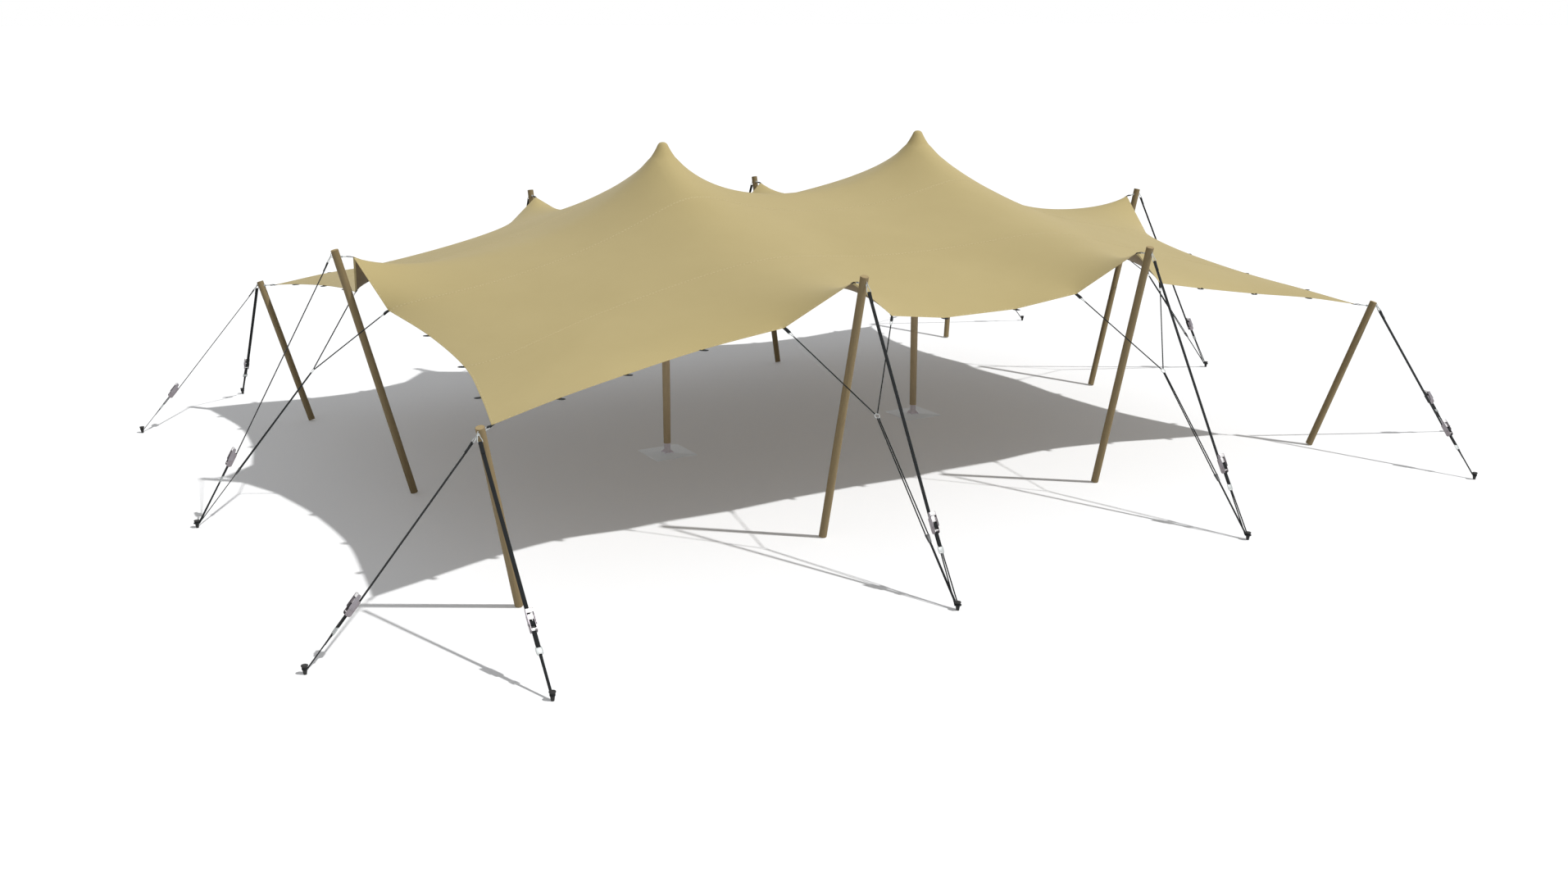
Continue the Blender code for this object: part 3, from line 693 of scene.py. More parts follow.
def round_outline(radius, sides=8):
    """A rope's section."""
    turns = [2 * math.pi * side / sides for side in range(sides)]
    return [(radius * math.cos(turn), radius * math.sin(turn)) for turn in turns]


def arc(centre, radius, start, end, steps):
    """Points (x, z) along an arc, angles in degrees."""
    turns = np.radians(np.linspace(start, end, steps))
    return [(centre[0] + radius * math.cos(turn), centre[1] + radius * math.sin(turn)) for turn in turns]


# %% [markdown]
# The sheet comes first, because all else hangs on it. It was cut 10 by 15 m from five lengthwise strips.
# Pitched, it is a stretched skin: every point is pulled evenly by its neighbours. The hem's loops and the
# two peaks are held, and everything between finds its balance. The hem's held points are those of the
# frame: each key is a loop's distance from the middle of its edge on the flat sheet.

# %% The hem and the peaks, as pitched
SHEET_LENGTH, SHEET_WIDTH = 15.0, 10.0
PEAK_PLACE = 2.5
LONG_HEM = {
    0.5: (0.630, 5.028, 2.942),
    1.5: (1.624, 5.188, 3.095),
    2.5: (2.466, 5.507, 3.677),
    3.5: (3.300, 5.165, 3.101),
    4.5: (4.388, 4.948, 2.893),
    5.5: (5.500, 5.043, 2.722),
    6.5: (6.492, 5.283, 2.601),
    7.5: (7.407, 5.459, 2.439),
}
SHORT_HEM = {
    0.0: (7.424, 0.000, 3.664),
    1.0: (7.211, 0.851, 3.001),
    2.0: (7.040, 2.096, 2.846),
    3.0: (7.030, 3.468, 2.690),
    4.0: (7.220, 4.600, 2.560),
    5.0: (7.407, 5.459, 2.439),
}
LONG_CREASES = (1.5, 2.5, 3.5)
SHORT_CREASES = (0.0, 1.0)
PEAK_X, PEAK_Z = 2.458, 5.080
PEAK_RADII = (0, 0.03, 0.05, 0.07, 0.10, 0.14, 0.19, 0.27)
PEAK_DROPS = (0, 0.004, 0.012, 0.029, 0.090, 0.160, 0.235, 0.310)


def hem_point(loops, creases, place):
    """The hem at a place on its edge: a smooth curve through the loops, broken at each crease."""
    keys = sorted(loops)
    index = int(np.clip(np.searchsorted(keys, place, "right") - 1, 0, len(keys) - 2))
    near, far = keys[index], keys[index + 1]
    start, end = np.array(loops[near]), np.array(loops[far])
    slope_in = slope_out = (end - start) / (far - near)
    if index > 0 and near not in creases:
        slope_in = (end - np.array(loops[keys[index - 1]])) / (far - keys[index - 1])
    if index < len(keys) - 2 and far not in creases:
        slope_out = (np.array(loops[keys[index + 2]]) - start) / (keys[index + 2] - near)
    span = far - near
    share = (place - near) / span
    return ((2 * share**3 - 3 * share**2 + 1) * start + (share**3 - 2 * share**2 + share) * span * slope_in
            + (3 * share**2 - 2 * share**3) * end + (share**3 - share**2) * span * slope_out)


def grid_lines(half, step, extra):
    """Places of the grid's lines, with closer ones where extra asks for them."""
    regular = np.arange(0, half + step / 2, step)
    positive = sorted({round(float(place), 4) for place in [*regular, *extra]})
    return np.array([-place for place in reversed(positive) if place > 0] + positive)


GRID = 0.1
CLOSE = (0.02, 0.035, 0.05, 0.07, 0.085, 0.12, 0.15, 0.175)
COLUMNS = grid_lines(SHEET_LENGTH / 2, GRID, [PEAK_PLACE + way * away for away in CLOSE for way in (-1, 1)])
ROWS = grid_lines(SHEET_WIDTH / 2, GRID, CLOSE)
print(len(COLUMNS), "by", len(ROWS), "lines on the sheet")

# %% [markdown]
# The cloth does not pull evenly everywhere. It pulls more along the ridge than beside it, more across
# the peaks than at the short ends, and much more towards each pulled-out tip. A tip is a doubled patch
# of cloth, so its pull starts blunt. These shares were chosen so that the skin's outline and seams fall
# where the real ones do.

# %% The pull of the cloth
PULL_ALONG = (1.10, 1.73)
PULL_ON_RIDGE = (16.8, 10.7)
BEYOND_REACH, RIDGE_REACH = 0.5, 0.252
PULL_OVER_PEAKS, OVER_REACH = 6.41, 2.465
PULLED_POINTS = {
    (PEAK_PLACE, 0.0): (-0.88, 1.18),
    (PEAK_PLACE, SHEET_WIDTH / 2): (11.0, 0.917),
    (SHEET_LENGTH / 2, SHEET_WIDTH / 2): (29.9, 1.008),
}
TIP_BLUNT = 0.35
TINY = 1e-6


def pull(along, across, lengthwise):
    """How hard the cloth pulls at a place on the flat sheet, along or across it."""
    from_peak = np.abs(along) - PEAK_PLACE
    beyond = (1 + np.tanh(from_peak / BEYOND_REACH)) / 2
    if lengthwise:
        share = PULL_ALONG[0] + (PULL_ALONG[1] - PULL_ALONG[0]) * beyond
        ridge = PULL_ON_RIDGE[0] + (PULL_ON_RIDGE[1] - PULL_ON_RIDGE[0]) * beyond
        band = ridge * np.exp(-((across / RIDGE_REACH) ** 2))
    else:
        share, band = 1.0, PULL_OVER_PEAKS * np.exp(-((from_peak / OVER_REACH) ** 2))
    pulls = share + band
    for (x, y), (strength, reach) in PULLED_POINTS.items():
        off_x, off_y = np.abs(along) - x, np.abs(across) - y
        away = np.hypot(off_x, off_y) + TINY
        blunt = TIP_BLUNT**2 if y else 0
        facing = ((off_x if lengthwise else off_y) ** 2 + blunt) / (away**2 + 2 * blunt)
        pulls = pulls + share * strength * np.exp(-away / reach) * facing
    return pulls


# %% [markdown]
# Finding the balance is one big linear problem. Conjugate gradients solve it in a few hundred steps,
# each of which only adds up the pulls between neighbours.

# %% The pitched sheet
STEPS = 3000
CLOSE_ENOUGH = 1e-7


def held_points():
    """The grid's points with hem and peaks in place, and which of them are held."""
    along, across = np.meshgrid(COLUMNS, ROWS, indexing="ij")
    points = np.stack([along, across, np.full_like(along, min(LONG_HEM[0.5]))], axis=-1)
    held = np.zeros(along.shape, bool)
    for i, place in enumerate(COLUMNS):
        side = hem_point(LONG_HEM, LONG_CREASES, max(abs(place), min(LONG_HEM)))
        if abs(place) < min(LONG_HEM):
            side[0] *= abs(place) / min(LONG_HEM)
        points[i, 0] = side * (np.sign(place), -1, 1)
        points[i, -1] = side * (np.sign(place), 1, 1)
    for j, place in enumerate(ROWS):
        side = hem_point(SHORT_HEM, SHORT_CREASES, abs(place))
        points[0, j] = side * (-1, np.sign(place), 1)
        points[-1, j] = side * (1, np.sign(place), 1)
    held[[0, -1]] = held[:, [0, -1]] = True
    for way in (-1, 1):
        off = along - way * PEAK_PLACE
        away = np.hypot(off, across)
        drop = np.interp(away, PEAK_RADII, PEAK_DROPS)
        cone = np.stack([way * PEAK_X + off, across, PEAK_Z - drop], axis=-1)
        near = away < PEAK_RADII[-1] + TINY
        points[near] = cone[near]
        held |= near
    return points, held


def balanced(points, held):
    """Moves every free point until the pulls of its neighbours cancel."""
    half_x, half_y = np.gradient(COLUMNS), np.gradient(ROWS)
    half_x[[0, -1]] /= 2
    half_y[[0, -1]] /= 2
    mid_x, at_y = np.meshgrid((COLUMNS[:-1] + COLUMNS[1:]) / 2, ROWS, indexing="ij")
    at_x, mid_y = np.meshgrid(COLUMNS, (ROWS[:-1] + ROWS[1:]) / 2, indexing="ij")
    along = (pull(mid_x, at_y, True) * half_y / np.diff(COLUMNS)[:, None])[..., None]
    across = (pull(at_x, mid_y, False) * half_x[:, None] / np.diff(ROWS))[..., None]
    stiff = np.zeros(held.shape + (1,))
    for part, ahead, behind in ((along, np.s_[1:], np.s_[:-1]), (across, np.s_[:, 1:], np.s_[:, :-1])):
        stiff[ahead] += part
        stiff[behind] += part

    def force(places):
        total = np.zeros_like(places)
        tug = along * np.diff(places, axis=0)
        total[:-1] += tug
        total[1:] -= tug
        tug = across * np.diff(places, axis=1)
        total[:, :-1] += tug
        total[:, 1:] -= tug
        total[held] = 0
        return total

    left = force(points)
    search = left / stiff
    energy = (left * search).sum()
    for _ in range(STEPS):
        answer = -force(search)
        share = energy / (search * answer).sum()
        points = points + share * search
        left = left - share * answer
        eased = left / stiff
        energy, before = (left * eased).sum(), energy
        if energy < CLOSE_ENOUGH:
            break
        search = eased + energy / before * search
    return points


SHEET = balanced(*held_points())
ALONG_X = np.gradient(SHEET, COLUMNS, axis=0)
ALONG_Y = np.gradient(SHEET, ROWS, axis=1)
NORMALS = unit(np.cross(ALONG_X, ALONG_Y))
print("sheet from", SHEET.min(axis=(0, 1)).round(3), "to", SHEET.max(axis=(0, 1)).round(3))


# %% [markdown]
# Seams, hem and loops are sewn to the sheet, so they need any point of it. This reads the pitched
# sheet at a place on the flat one, a chosen distance out from the cloth.

# %% Read the pitched sheet
def on_sheet(along, across, out=0.0):
    """The pitched place of points of the flat sheet, which may lie just past its edge."""
    along, across = np.broadcast_arrays(np.asarray(along, float), np.asarray(across, float))
    i = np.clip(np.searchsorted(COLUMNS, along) - 1, 0, len(COLUMNS) - 2)
    j = np.clip(np.searchsorted(ROWS, across) - 1, 0, len(ROWS) - 2)
    share_x = ((along - COLUMNS[i]) / (COLUMNS[i + 1] - COLUMNS[i]))[..., None]
    share_y = ((across - ROWS[j]) / (ROWS[j + 1] - ROWS[j]))[..., None]

    def read(values):
        low = values[i, j] * (1 - share_x) + values[i + 1, j] * share_x
        high = values[i, j + 1] * (1 - share_x) + values[i + 1, j + 1] * share_x
        return low * (1 - share_y) + high * share_y

    return read(SHEET) + read(NORMALS) * np.asarray(out, float)[..., None]


print("middle of the sheet", on_sheet(0, 0).round(3))

# %% [markdown]
# The sheet itself is a grid primitive whose points are moved to the balanced places. Its map keeps the
# flat places in metres. Solidify gives it a back, in the fabric's other face.

# %% The sheet
CLOTH_THICK = 0.004

canopy = fresh(bpy.ops.mesh.primitive_grid_add, x_subdivisions=len(COLUMNS) - 1,
               y_subdivisions=len(ROWS) - 1, size=2)
canopy.name = "stretch_sheet"
spots = np.empty(len(canopy.data.vertices) * 3)
canopy.data.vertices.foreach_get("co", spots)
spots = spots.reshape(-1, 3)
column = np.rint((spots[:, 0] + 1) / 2 * (len(COLUMNS) - 1)).astype(int)
row = np.rint((spots[:, 1] + 1) / 2 * (len(ROWS) - 1)).astype(int)
canopy.data.vertices.foreach_set("co", SHEET[column, row].ravel())
corner = np.empty(len(canopy.data.loops), int)
canopy.data.loops.foreach_get("vertex_index", corner)
flat_map = canopy.data.uv_layers.active or canopy.data.uv_layers.new()
flat_map.name = "flat"
flat_map.data.foreach_set("uv", np.stack([COLUMNS[column], ROWS[row]], -1)[corner].astype(np.float32).ravel())
canopy.data.materials.append(FABRIC_TOP)
canopy.data.materials.append(FABRIC_BACK)
only(canopy)
back = canopy.modifiers.new("thickness", "SOLIDIFY")
back.thickness = CLOTH_THICK
back.offset = 0
back.material_offset = 1
bpy.ops.object.modifier_apply(modifier=back.name)
bpy.ops.object.shade_smooth_by_angle(angle=SMOOTH_ANGLE)
show(canopy, "tent", "stretch_fabric", "canopy")
print("sheet", len(canopy.data.polygons), "faces")

# %% [markdown]
# The hem is the sheet's edge turned over twice and sewn: a band 30 mm wide on both faces that wraps
# round the edge. Its outline is drawn round the whole sheet, with the corners mitred.

# %% The hem
HEM_WIDTH = 0.030
HEM_RISE = CLOTH_THICK / 2 + 0.0006
HEM_LIP = 0.002
HEM_BEND = 0.001
HEM_OUTLINE = ((HEM_WIDTH, HEM_RISE), (HEM_BEND, HEM_RISE), (-HEM_LIP, 0), (HEM_BEND, -HEM_RISE),
               (HEM_WIDTH, -HEM_RISE))


def round_the_edge():
    """Stations round the flat sheet's edge, each with its way inwards."""
    half_x, half_y = SHEET_LENGTH / 2, SHEET_WIDTH / 2
    front = [(place, -half_y, 0, 1) for place in COLUMNS[1:-1]]
    right = [(half_x, place, -1, 0) for place in ROWS[1:-1]]
    behind = [(place, half_y, 0, -1) for place in COLUMNS[-2:0:-1]]
    left = [(-half_x, place, 1, 0) for place in ROWS[-2:0:-1]]
    return np.array([(-half_x, -half_y, 1, 1), *front, (half_x, -half_y, -1, 1), *right,
                     (half_x, half_y, -1, -1), *behind, (-half_x, half_y, 1, -1), *left])


EDGE = round_the_edge()
hem_rings = np.stack([on_sheet(EDGE[:, 0] + EDGE[:, 2] * inset, EDGE[:, 1] + EDGE[:, 3] * inset, rise)
                      for inset, rise in HEM_OUTLINE], axis=1)
hem = swept_mesh("hem", hem_rings, FABRIC_TOP, closed=True, map_name="flat")
show(hem, "tent", "stretch_fabric")
print("hem", len(hem.data.polygons), "faces")

# %% [markdown]
# Four seams join the five strips, a metre and three metres either side of the middle. Each is a lapped
# seam: a narrow raised band on both faces, held by two rows of stitches.

# %% The seams
SEAM_PLACES = (-3, -1, 1, 3)
SEAM_HALF = 0.012
SEAM_RISE = CLOTH_THICK / 2 + 0.0007
SEAM_END = SHEET_LENGTH / 2 - HEM_WIDTH / 2

stations = np.concatenate([[-SEAM_END], COLUMNS[1:-1], [SEAM_END]])
bands = []
for middle in SEAM_PLACES:
    rings = np.stack([on_sheet(stations, middle + side * SEAM_HALF, rise * SEAM_RISE)
                      for side, rise in ((-1, 1), (1, 1), (1, -1), (-1, -1))], axis=1)
    bands.append(swept_mesh("seam", rings, FABRIC_TOP, map_name="flat"))
seams = together(bands, "lapped_seams")
show(seams, "tent", "stretch_fabric")
print("seams", len(seams.data.polygons), "faces")

# %% [markdown]
# The stitches are real geometry too, each one a small bar of thread that lies on the cloth. Real
# stitches are 5 mm long and would take a million faces, so these are 24 mm long and stand for five at a
# time. They are all built at once, as arrays of corners.

# %% The stitches
STITCH_PITCH = 0.05
STITCH_HALF = 0.012
THREAD_HALF = 0.0022
THREAD_RISE = 0.0009
SEAM_ROW = 0.007
HEM_ROW = 0.022


def stitches(along, across, way_x, way_y, base):
    """Bars of thread at places of the flat sheet, each running a given way."""
    corners = []
    for end, side, rise in ((-1, -1, 0), (1, -1, 0), (1, 1, 0), (-1, 1, 0),
                            (-1, -1, 1), (1, -1, 1), (1, 1, 1), (-1, 1, 1)):
        x = along + end * STITCH_HALF * way_x - side * THREAD_HALF * way_y
        y = across + end * STITCH_HALF * way_y + side * THREAD_HALF * way_x
        corners.append(on_sheet(x, y, base + rise * THREAD_RISE))
    corners = np.stack(corners, axis=1)
    box = ((0, 3, 2, 1), (4, 5, 6, 7), (0, 1, 5, 4), (1, 2, 6, 5), (2, 3, 7, 6), (3, 0, 4, 7))
    faces = [tuple(8 * index + corner for corner in face) for index in range(len(corners)) for face in box]
    flat = np.stack([np.repeat(along, 4 * len(box)), np.repeat(across, 4 * len(box))], -1)
    return mesh_piece("stitches", corners, faces, flat, "flat", THREAD)


seam_places = np.arange(-SEAM_END + STITCH_PITCH, SEAM_END, STITCH_PITCH)
rows_of_thread = [stitches(seam_places, np.full_like(seam_places, middle + side * SEAM_ROW), 1, 0, SEAM_RISE)
                  for middle in SEAM_PLACES for side in (-1, 1)]
seam_stitches = together(rows_of_thread, "seam_stitches")
show(seam_stitches, "tent", "stretch_fabric")

long_places = np.arange(HEM_ROW - SHEET_LENGTH / 2 + STITCH_PITCH, SHEET_LENGTH / 2 - HEM_ROW, STITCH_PITCH)
short_places = np.arange(HEM_ROW - SHEET_WIDTH / 2 + STITCH_PITCH, SHEET_WIDTH / 2 - HEM_ROW, STITCH_PITCH)
rows_of_thread = []
for way in (-1, 1):
    edge_y = np.full_like(long_places, way * (SHEET_WIDTH / 2 - HEM_ROW))
    edge_x = np.full_like(short_places, way * (SHEET_LENGTH / 2 - HEM_ROW))
    rows_of_thread.append(stitches(long_places, edge_y, 1, 0, HEM_RISE))
    rows_of_thread.append(stitches(edge_x, short_places, 0, 1, HEM_RISE))
hem_stitches = together(rows_of_thread, "hem_stitches")
show(hem_stitches, "tent", "stretch_fabric")
print("stitches", len(seam_stitches.data.polygons) + len(hem_stitches.data.polygons), "faces")

# %% [markdown]
# The frame knows the poles as plain round solids. Their axes are read from those solids: the middle of
# their points, and the way in which the points spread most. Each pole also has its place on the flat
# sheet, where its tip is.

# %% Read the poles' axes
POLE_R = 0.0575


def axis_of(node):
    """Foot and head of a round node's axis."""
    points = np.unique(np.array([vert.co for vert in NODES[node].data.vertices]).round(5), axis=0)
    middle = points.mean(axis=0)
    along = np.linalg.svd(points - middle, full_matrices=False)[2][0]
    along *= np.sign(along[2])
    reach = (points - middle) @ along
    return Vector(middle + along * reach.min()), Vector(middle + along * reach.max())


ENDS = {"left": -1, "right": 1}
SIDES = {"front": -1, "back": 1}
POLES = {}
for depth, way_y in SIDES.items():
    for end, way_x in ENDS.items():
        POLES[f"corner_{depth}_{end}"] = (way_x * SHEET_LENGTH / 2, way_y * SHEET_WIDTH / 2)
        POLES[f"{depth}_{end}"] = (way_x * PEAK_PLACE, way_y * SHEET_WIDTH / 2)
for end, way_x in ENDS.items():
    POLES[f"end_{end}"] = (way_x * SHEET_LENGTH / 2, 0.0)
AXES = {name: axis_of("pole_" + name) for name in POLES}
print({name: round((head - foot).length, 2) for name, (foot, head) in AXES.items()})

# %% [markdown]
# A pole is turned by eye on a lathe and never quite even. Each is drawn up ring by ring with a radius
# that wanders by a millimetre, from a fixed seed, and its two ends are broken by a file. The end faces
# get their own finish.

# %% The perimeter poles
rng = np.random.default_rng(7)
POLE_STEPS = 14
POLE_UNDER, POLE_WANDER = 0.0012, 0.001
END_BREAK, END_PLAIN = 0.004, 0.02


def wooden_pole(length, radii, finish, sides=32):
    """A pole with broken ends and sawn end grain, its foot at the origin."""
    heights = np.linspace(END_PLAIN, length - END_PLAIN, len(radii))
    profile = [(0, radii[0] - END_BREAK), (END_BREAK, radii[0]), *zip(heights, radii),
               (length - END_BREAK, radii[-1]), (length, radii[-1] - END_BREAK)]
    made = turned(profile, sides)
    coated(made, finish)
    made.data.materials.append(END_GRAIN)
    pick(made, "FACE", lambda face: abs(face.normal.z) > 0.9)
    made.active_material_index = 1
    bpy.ops.object.material_slot_assign()
    done()
    return together([made], "pole")


for name, (foot, head) in AXES.items():
    radii = POLE_R - POLE_UNDER + POLE_WANDER * rng.uniform(-1, 1, POLE_STEPS)
    pole = wooden_pole((head - foot).length, radii, WOOD)
    stand(pole, "wooden_pole_" + name, upright(foot, head), "pole_wood", "pole_" + name)
print(len(AXES), "perimeter poles")

# %% [markdown]
# The two centre poles are thicker in the middle, which keeps a tall slender pole from buckling. Each
# carries a rounded rubber head, so that the cloth slides over it and isn't cut.

# %% The centre poles and their heads
CENTRE_END_R, CENTRE_MID_R, CENTRE_UNDER = 0.060, 0.066, 0.0008
HEAD_RISE = 0.019
HEAD_SIDES = 48
HEAD_UNDER, HEAD_BEND, HEAD_FLAT = 0.003, 0.035, 0.012
HEAD_SKIRT = ((0, 0.010), (0.004, 0.006), (0.02, HEAD_UNDER), (0.05, HEAD_UNDER))
HEAD_DOME = (10, 30, 50, 70, 85)

for end in ENDS:
    foot, head = axis_of("centre_pole_" + end)
    shares = np.linspace(0, 1, POLE_STEPS)
    radii = CENTRE_END_R + (CENTRE_MID_R - CENTRE_END_R) * np.sin(math.pi * shares) - CENTRE_UNDER
    # The centre poles take the wood painted lighter, as painted light for their shade.
    pole = wooden_pole((head - foot).length, radii, PAINTED_LIGHT_WOOD)
    stand(pole, "turned_centre_pole_" + end, upright(foot, head), "pole_wood", "centre_pole_" + end)
    low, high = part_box("pole_head_" + end)
    tall, wide = high.z - low.z + HEAD_RISE, (high.x - low.x) / 2
    profile = [(height, wide - inset) for height, inset in HEAD_SKIRT]
    for turn in np.radians(HEAD_DOME):
        profile.append((tall - HEAD_BEND * (1 - math.sin(turn)),
                        HEAD_FLAT + (wide - HEAD_UNDER - HEAD_FLAT) * math.cos(turn)))
    cap = together([coated(turned(profile, HEAD_SIDES), RUBBER)], "head")
    at_top = Matrix.Translation(middle_of("pole_head_" + end, low.z))
    stand(cap, "rubber_head_" + end, at_top, "pole_head", "pole_head_" + end)
print("two centre poles with their heads")

# %% [markdown]
# A base plate spreads a centre pole's load on soft ground. It is a cut plate with broken edges and
# rounded corners, a tube that the pole stands on, a collar, and four gussets welded in between. The weld
# bead is a thin ring that melts into both.

# %% The base plates
PLATE_SIDE, PLATE_THICK = 0.733, 0.008
SOCKET_R, SOCKET_TOP, COLLAR_R = 0.050, 0.171, 0.057
GUSSET_REACH, GUSSET_HEIGHT, GUSSET_TOE, GUSSET_THICK = 0.110, 0.090, 0.012, 0.008
SOCKET_PROFILE = ((PLATE_THICK / 2, SOCKET_R), (SOCKET_TOP - 0.014, SOCKET_R),
                  (SOCKET_TOP - 0.012, COLLAR_R), (SOCKET_TOP - 0.002, COLLAR_R),
                  (SOCKET_TOP - 0.0004, COLLAR_R - 0.002))
BEAD_PROFILE = ((PLATE_THICK - 0.001, SOCKET_R + 0.006), (PLATE_THICK + 0.003, SOCKET_R + 0.004),
                (PLATE_THICK + 0.006, SOCKET_R + 0.0002))


def base_plate():
    """The plate with its socket and gussets, its middle at the origin."""
    half = PLATE_SIDE / 2
    plate = block((-half, -half, 0), (half, half, PLATE_THICK))
    round_corners(plate, runs_along(2), 0.012)
    soften(plate, 0.001)
    pieces = [turned(profile, 32) for profile in (SOCKET_PROFILE, BEAD_PROFILE)]
    for quarter in range(4):
        gusset = block((0.01, -GUSSET_THICK / 2, PLATE_THICK / 2),
                       (GUSSET_REACH, GUSSET_THICK / 2, PLATE_THICK + GUSSET_HEIGHT))
        shift(gusset, lambda vert: vert.co.x > SOCKET_R and vert.co.z > PLATE_THICK,
              (0, 0, GUSSET_TOE - GUSSET_HEIGHT))
        soften(gusset, 0.0012)
        gusset.data.transform(Matrix.Rotation(math.radians(45 + 90 * quarter), 4, "Z"))
        pieces.append(gusset)
    tube = coated(together(pieces, "tube"), TUBE)
    return together([coated(plate, PLATE_PAINT), tube], "base")


plate_master = base_plate()
for end in ENDS:
    made = placed(plate_master, "steel_base_" + end, Matrix.Translation(middle_of("base_plate_" + end, 0)))
    show(made, "tent", "plate_steel", "base_plate_" + end)
bpy.data.objects.remove(plate_master)
print("two base plates")

# %% [markdown]
# Each stake is a forged iron peg driven in to its neck: a flat struck head, a neck that the strap lies
# round, and a shank that goes on below ground. Only what stands above ground is here.

# %% The stakes
STAKE_PROFILE = ((0.0, 0.0190), (0.020, 0.0222), (0.045, 0.0258), (0.070, 0.0286), (0.085, 0.0302),
                 (0.089, 0.0325), (0.093, 0.0368), (0.098, 0.0392), (0.104, 0.0405), (0.109, 0.0396),
                 (0.1115, 0.0362), (0.1120, 0.0220))

stake_master = turned(STAKE_PROFILE, 24)
stake_master = together([coated(stake_master, IRON)], "stake")
STAKES = {name.removeprefix("stake_"): middle_of(name, 0) for name in NODES if name.startswith("stake_")}
for number, (name, spot) in enumerate(STAKES.items()):
    turn = Matrix.Translation(spot) @ Matrix.Rotation(number, 4, "Z")
    made = placed(stake_master, "iron_stake_" + name, turn)
    show(made, "tent", "black_iron", "stake_" + name)
bpy.data.objects.remove(stake_master)
print(len(STAKES), "stakes")

# %% [markdown]
# Bent wire parts, such as rings and hooks, are curves with a round bevel, made a mesh at the end. An
# automatic handle at each point rounds the bends as a wire former does.

# %% Helper for bent wire
def bent_wire(points, radius, closed=True, smooth=4):
    """A wire of a given radius through points."""
    line = bpy.data.curves.new("wire", "CURVE")
    line.dimensions = "3D"
    line.bevel_depth = radius
    line.bevel_resolution = 2
    line.resolution_u = smooth
    line.use_fill_caps = True
    spline = line.splines.new("BEZIER")
    spline.bezier_points.add(len(points) - 1)
    for knot, point in zip(spline.bezier_points, points):
        knot.co = point
        knot.handle_left_type = knot.handle_right_type = "AUTO"
    spline.use_cyclic_u = closed
    only(in_scene("wire", line))
    bpy.ops.object.convert(target="MESH")
    made = bpy.context.object
    pick(made, "FACE", lambda face: True)
    bpy.ops.mesh.remove_doubles(threshold=radius / 50)
    done()
    return outwards(made)


def wire_ring(radius, wire, knots):
    """A ring of wire in the XY plane."""
    turns = np.linspace(0, 2 * math.pi, knots, endpoint=False)
    return bent_wire([(radius * math.cos(turn), radius * math.sin(turn), 0) for turn in turns], wire)


def rounded_frame(half_x, half_y, bend):
    """Points round a rectangle with bent corners, in the XY plane."""
    points = []
    for way_x, way_y in ((1, 1), (-1, 1), (-1, -1), (1, -1)):
        near = [(way_x * half_x, way_y * (half_y - bend)),
                (way_x * (half_x - bend * 0.3), way_y * (half_y - bend * 0.3)),
                (way_x * (half_x - bend), way_y * half_y)]
        points += near if way_x * way_y > 0 else near[::-1]
    return [(x, y, 0) for x, y in points]


# %% [markdown]
# Each ratchet works as a winch: a drum between two steel cheeks, a toothed wheel on each side of it, and a
# long handle that turns the drum. All ratchets are alike, so one is modelled in a frame of its own, with
# the drum's axis along Y at the origin and the strap along X, and copied to each strap.

# %% The ratchet's frame
CHEEK_LOW, CHEEK_HIGH = -0.103, 0.107
CHEEK_HALF, CHEEK_THICK, CHEEK_TALL = 0.031, 0.004, 0.078
CHEEK_ROUND, CHEEK_CORNER = 0.030, 0.012
BOLT_X, BOLT_R, NUT_R = -0.087, 0.006, 0.010
BAR_X, BAR_Z, BAR_R = -0.063, 0.028, 0.0065
COVER = ((0.045, 0.0235), (0.106, 0.030))
PAWL, PAWL_TILT = ((-0.062, 0.010), (-0.034, 0.015)), 0.004


def cheek(side):
    """One side plate: a strip of steel with a round lower end."""
    low, high = sorted((side * CHEEK_HALF, side * (CHEEK_HALF + CHEEK_THICK)))
    made = block((CHEEK_LOW, low, -CHEEK_TALL / 2), (CHEEK_HIGH, high, CHEEK_TALL / 2))
    round_corners(made, lambda edge: runs_along(1)(edge) and edge.verts[0].co.x < 0, CHEEK_ROUND, 8)
    round_corners(made, lambda edge: runs_along(1)(edge) and edge.verts[0].co.x > 0.1, CHEEK_CORNER)
    return soften(made, 0.0006, 1)


def between_cheeks(low, high):
    """A block from cheek to cheek between two corners (x, z)."""
    return block((low[0], -CHEEK_HALF, low[1]), (high[0], CHEEK_HALF, high[1]))


def ratchet_frame():
    """Cheeks, bolt, cross bar, cover plate and the pawl that locks the wheels."""
    pieces = [cheek(-1), cheek(1)]
    outside = CHEEK_HALF + CHEEK_THICK
    pieces.append(rod((BOLT_X, -outside - 0.003, 0), (BOLT_X, outside + 0.003, 0), BOLT_R))
    for side in (-1, 1):
        pieces.append(rod((BOLT_X, side * outside, 0), (BOLT_X, side * (outside + 0.005), 0), NUT_R, 6))
    grey = coated(together(pieces, "cheeks"), ZINC)
    bar = rod((BAR_X, -CHEEK_HALF, BAR_Z), (BAR_X, CHEEK_HALF, BAR_Z), BAR_R)
    cover = soften(between_cheeks(*COVER), 0.002)
    pawl = between_cheeks(*PAWL)
    shift(pawl, lambda vert: vert.co.x > PAWL[0][0] + TINY, (0, 0, PAWL_TILT))
    dark = coated(together([soften(pawl, 0.001)], "pawl"), IRON)
    light = coated(together([bar, cover], "light"), BRIGHT)
    return together([grey, light, dark], "ratchet_frame")


frame_master = ratchet_frame()
print("ratchet frame", len(frame_master.data.polygons), "faces")

# %% [markdown]
# The drum is a round bar that the webbing is wound on, on a thinner spindle through both cheeks. The
# toothed wheels run in the gap between cheek and handle.

# %% The drum and its toothed wheels
WHEEL_TEETH = 15
WHEEL_LOW, WHEEL_HIGH = 0.022, 0.028
WHEEL_THICK, WHEEL_CLEAR = 0.004, 0.001
SPINDLE_R, DRUM_R = 0.009, 0.018


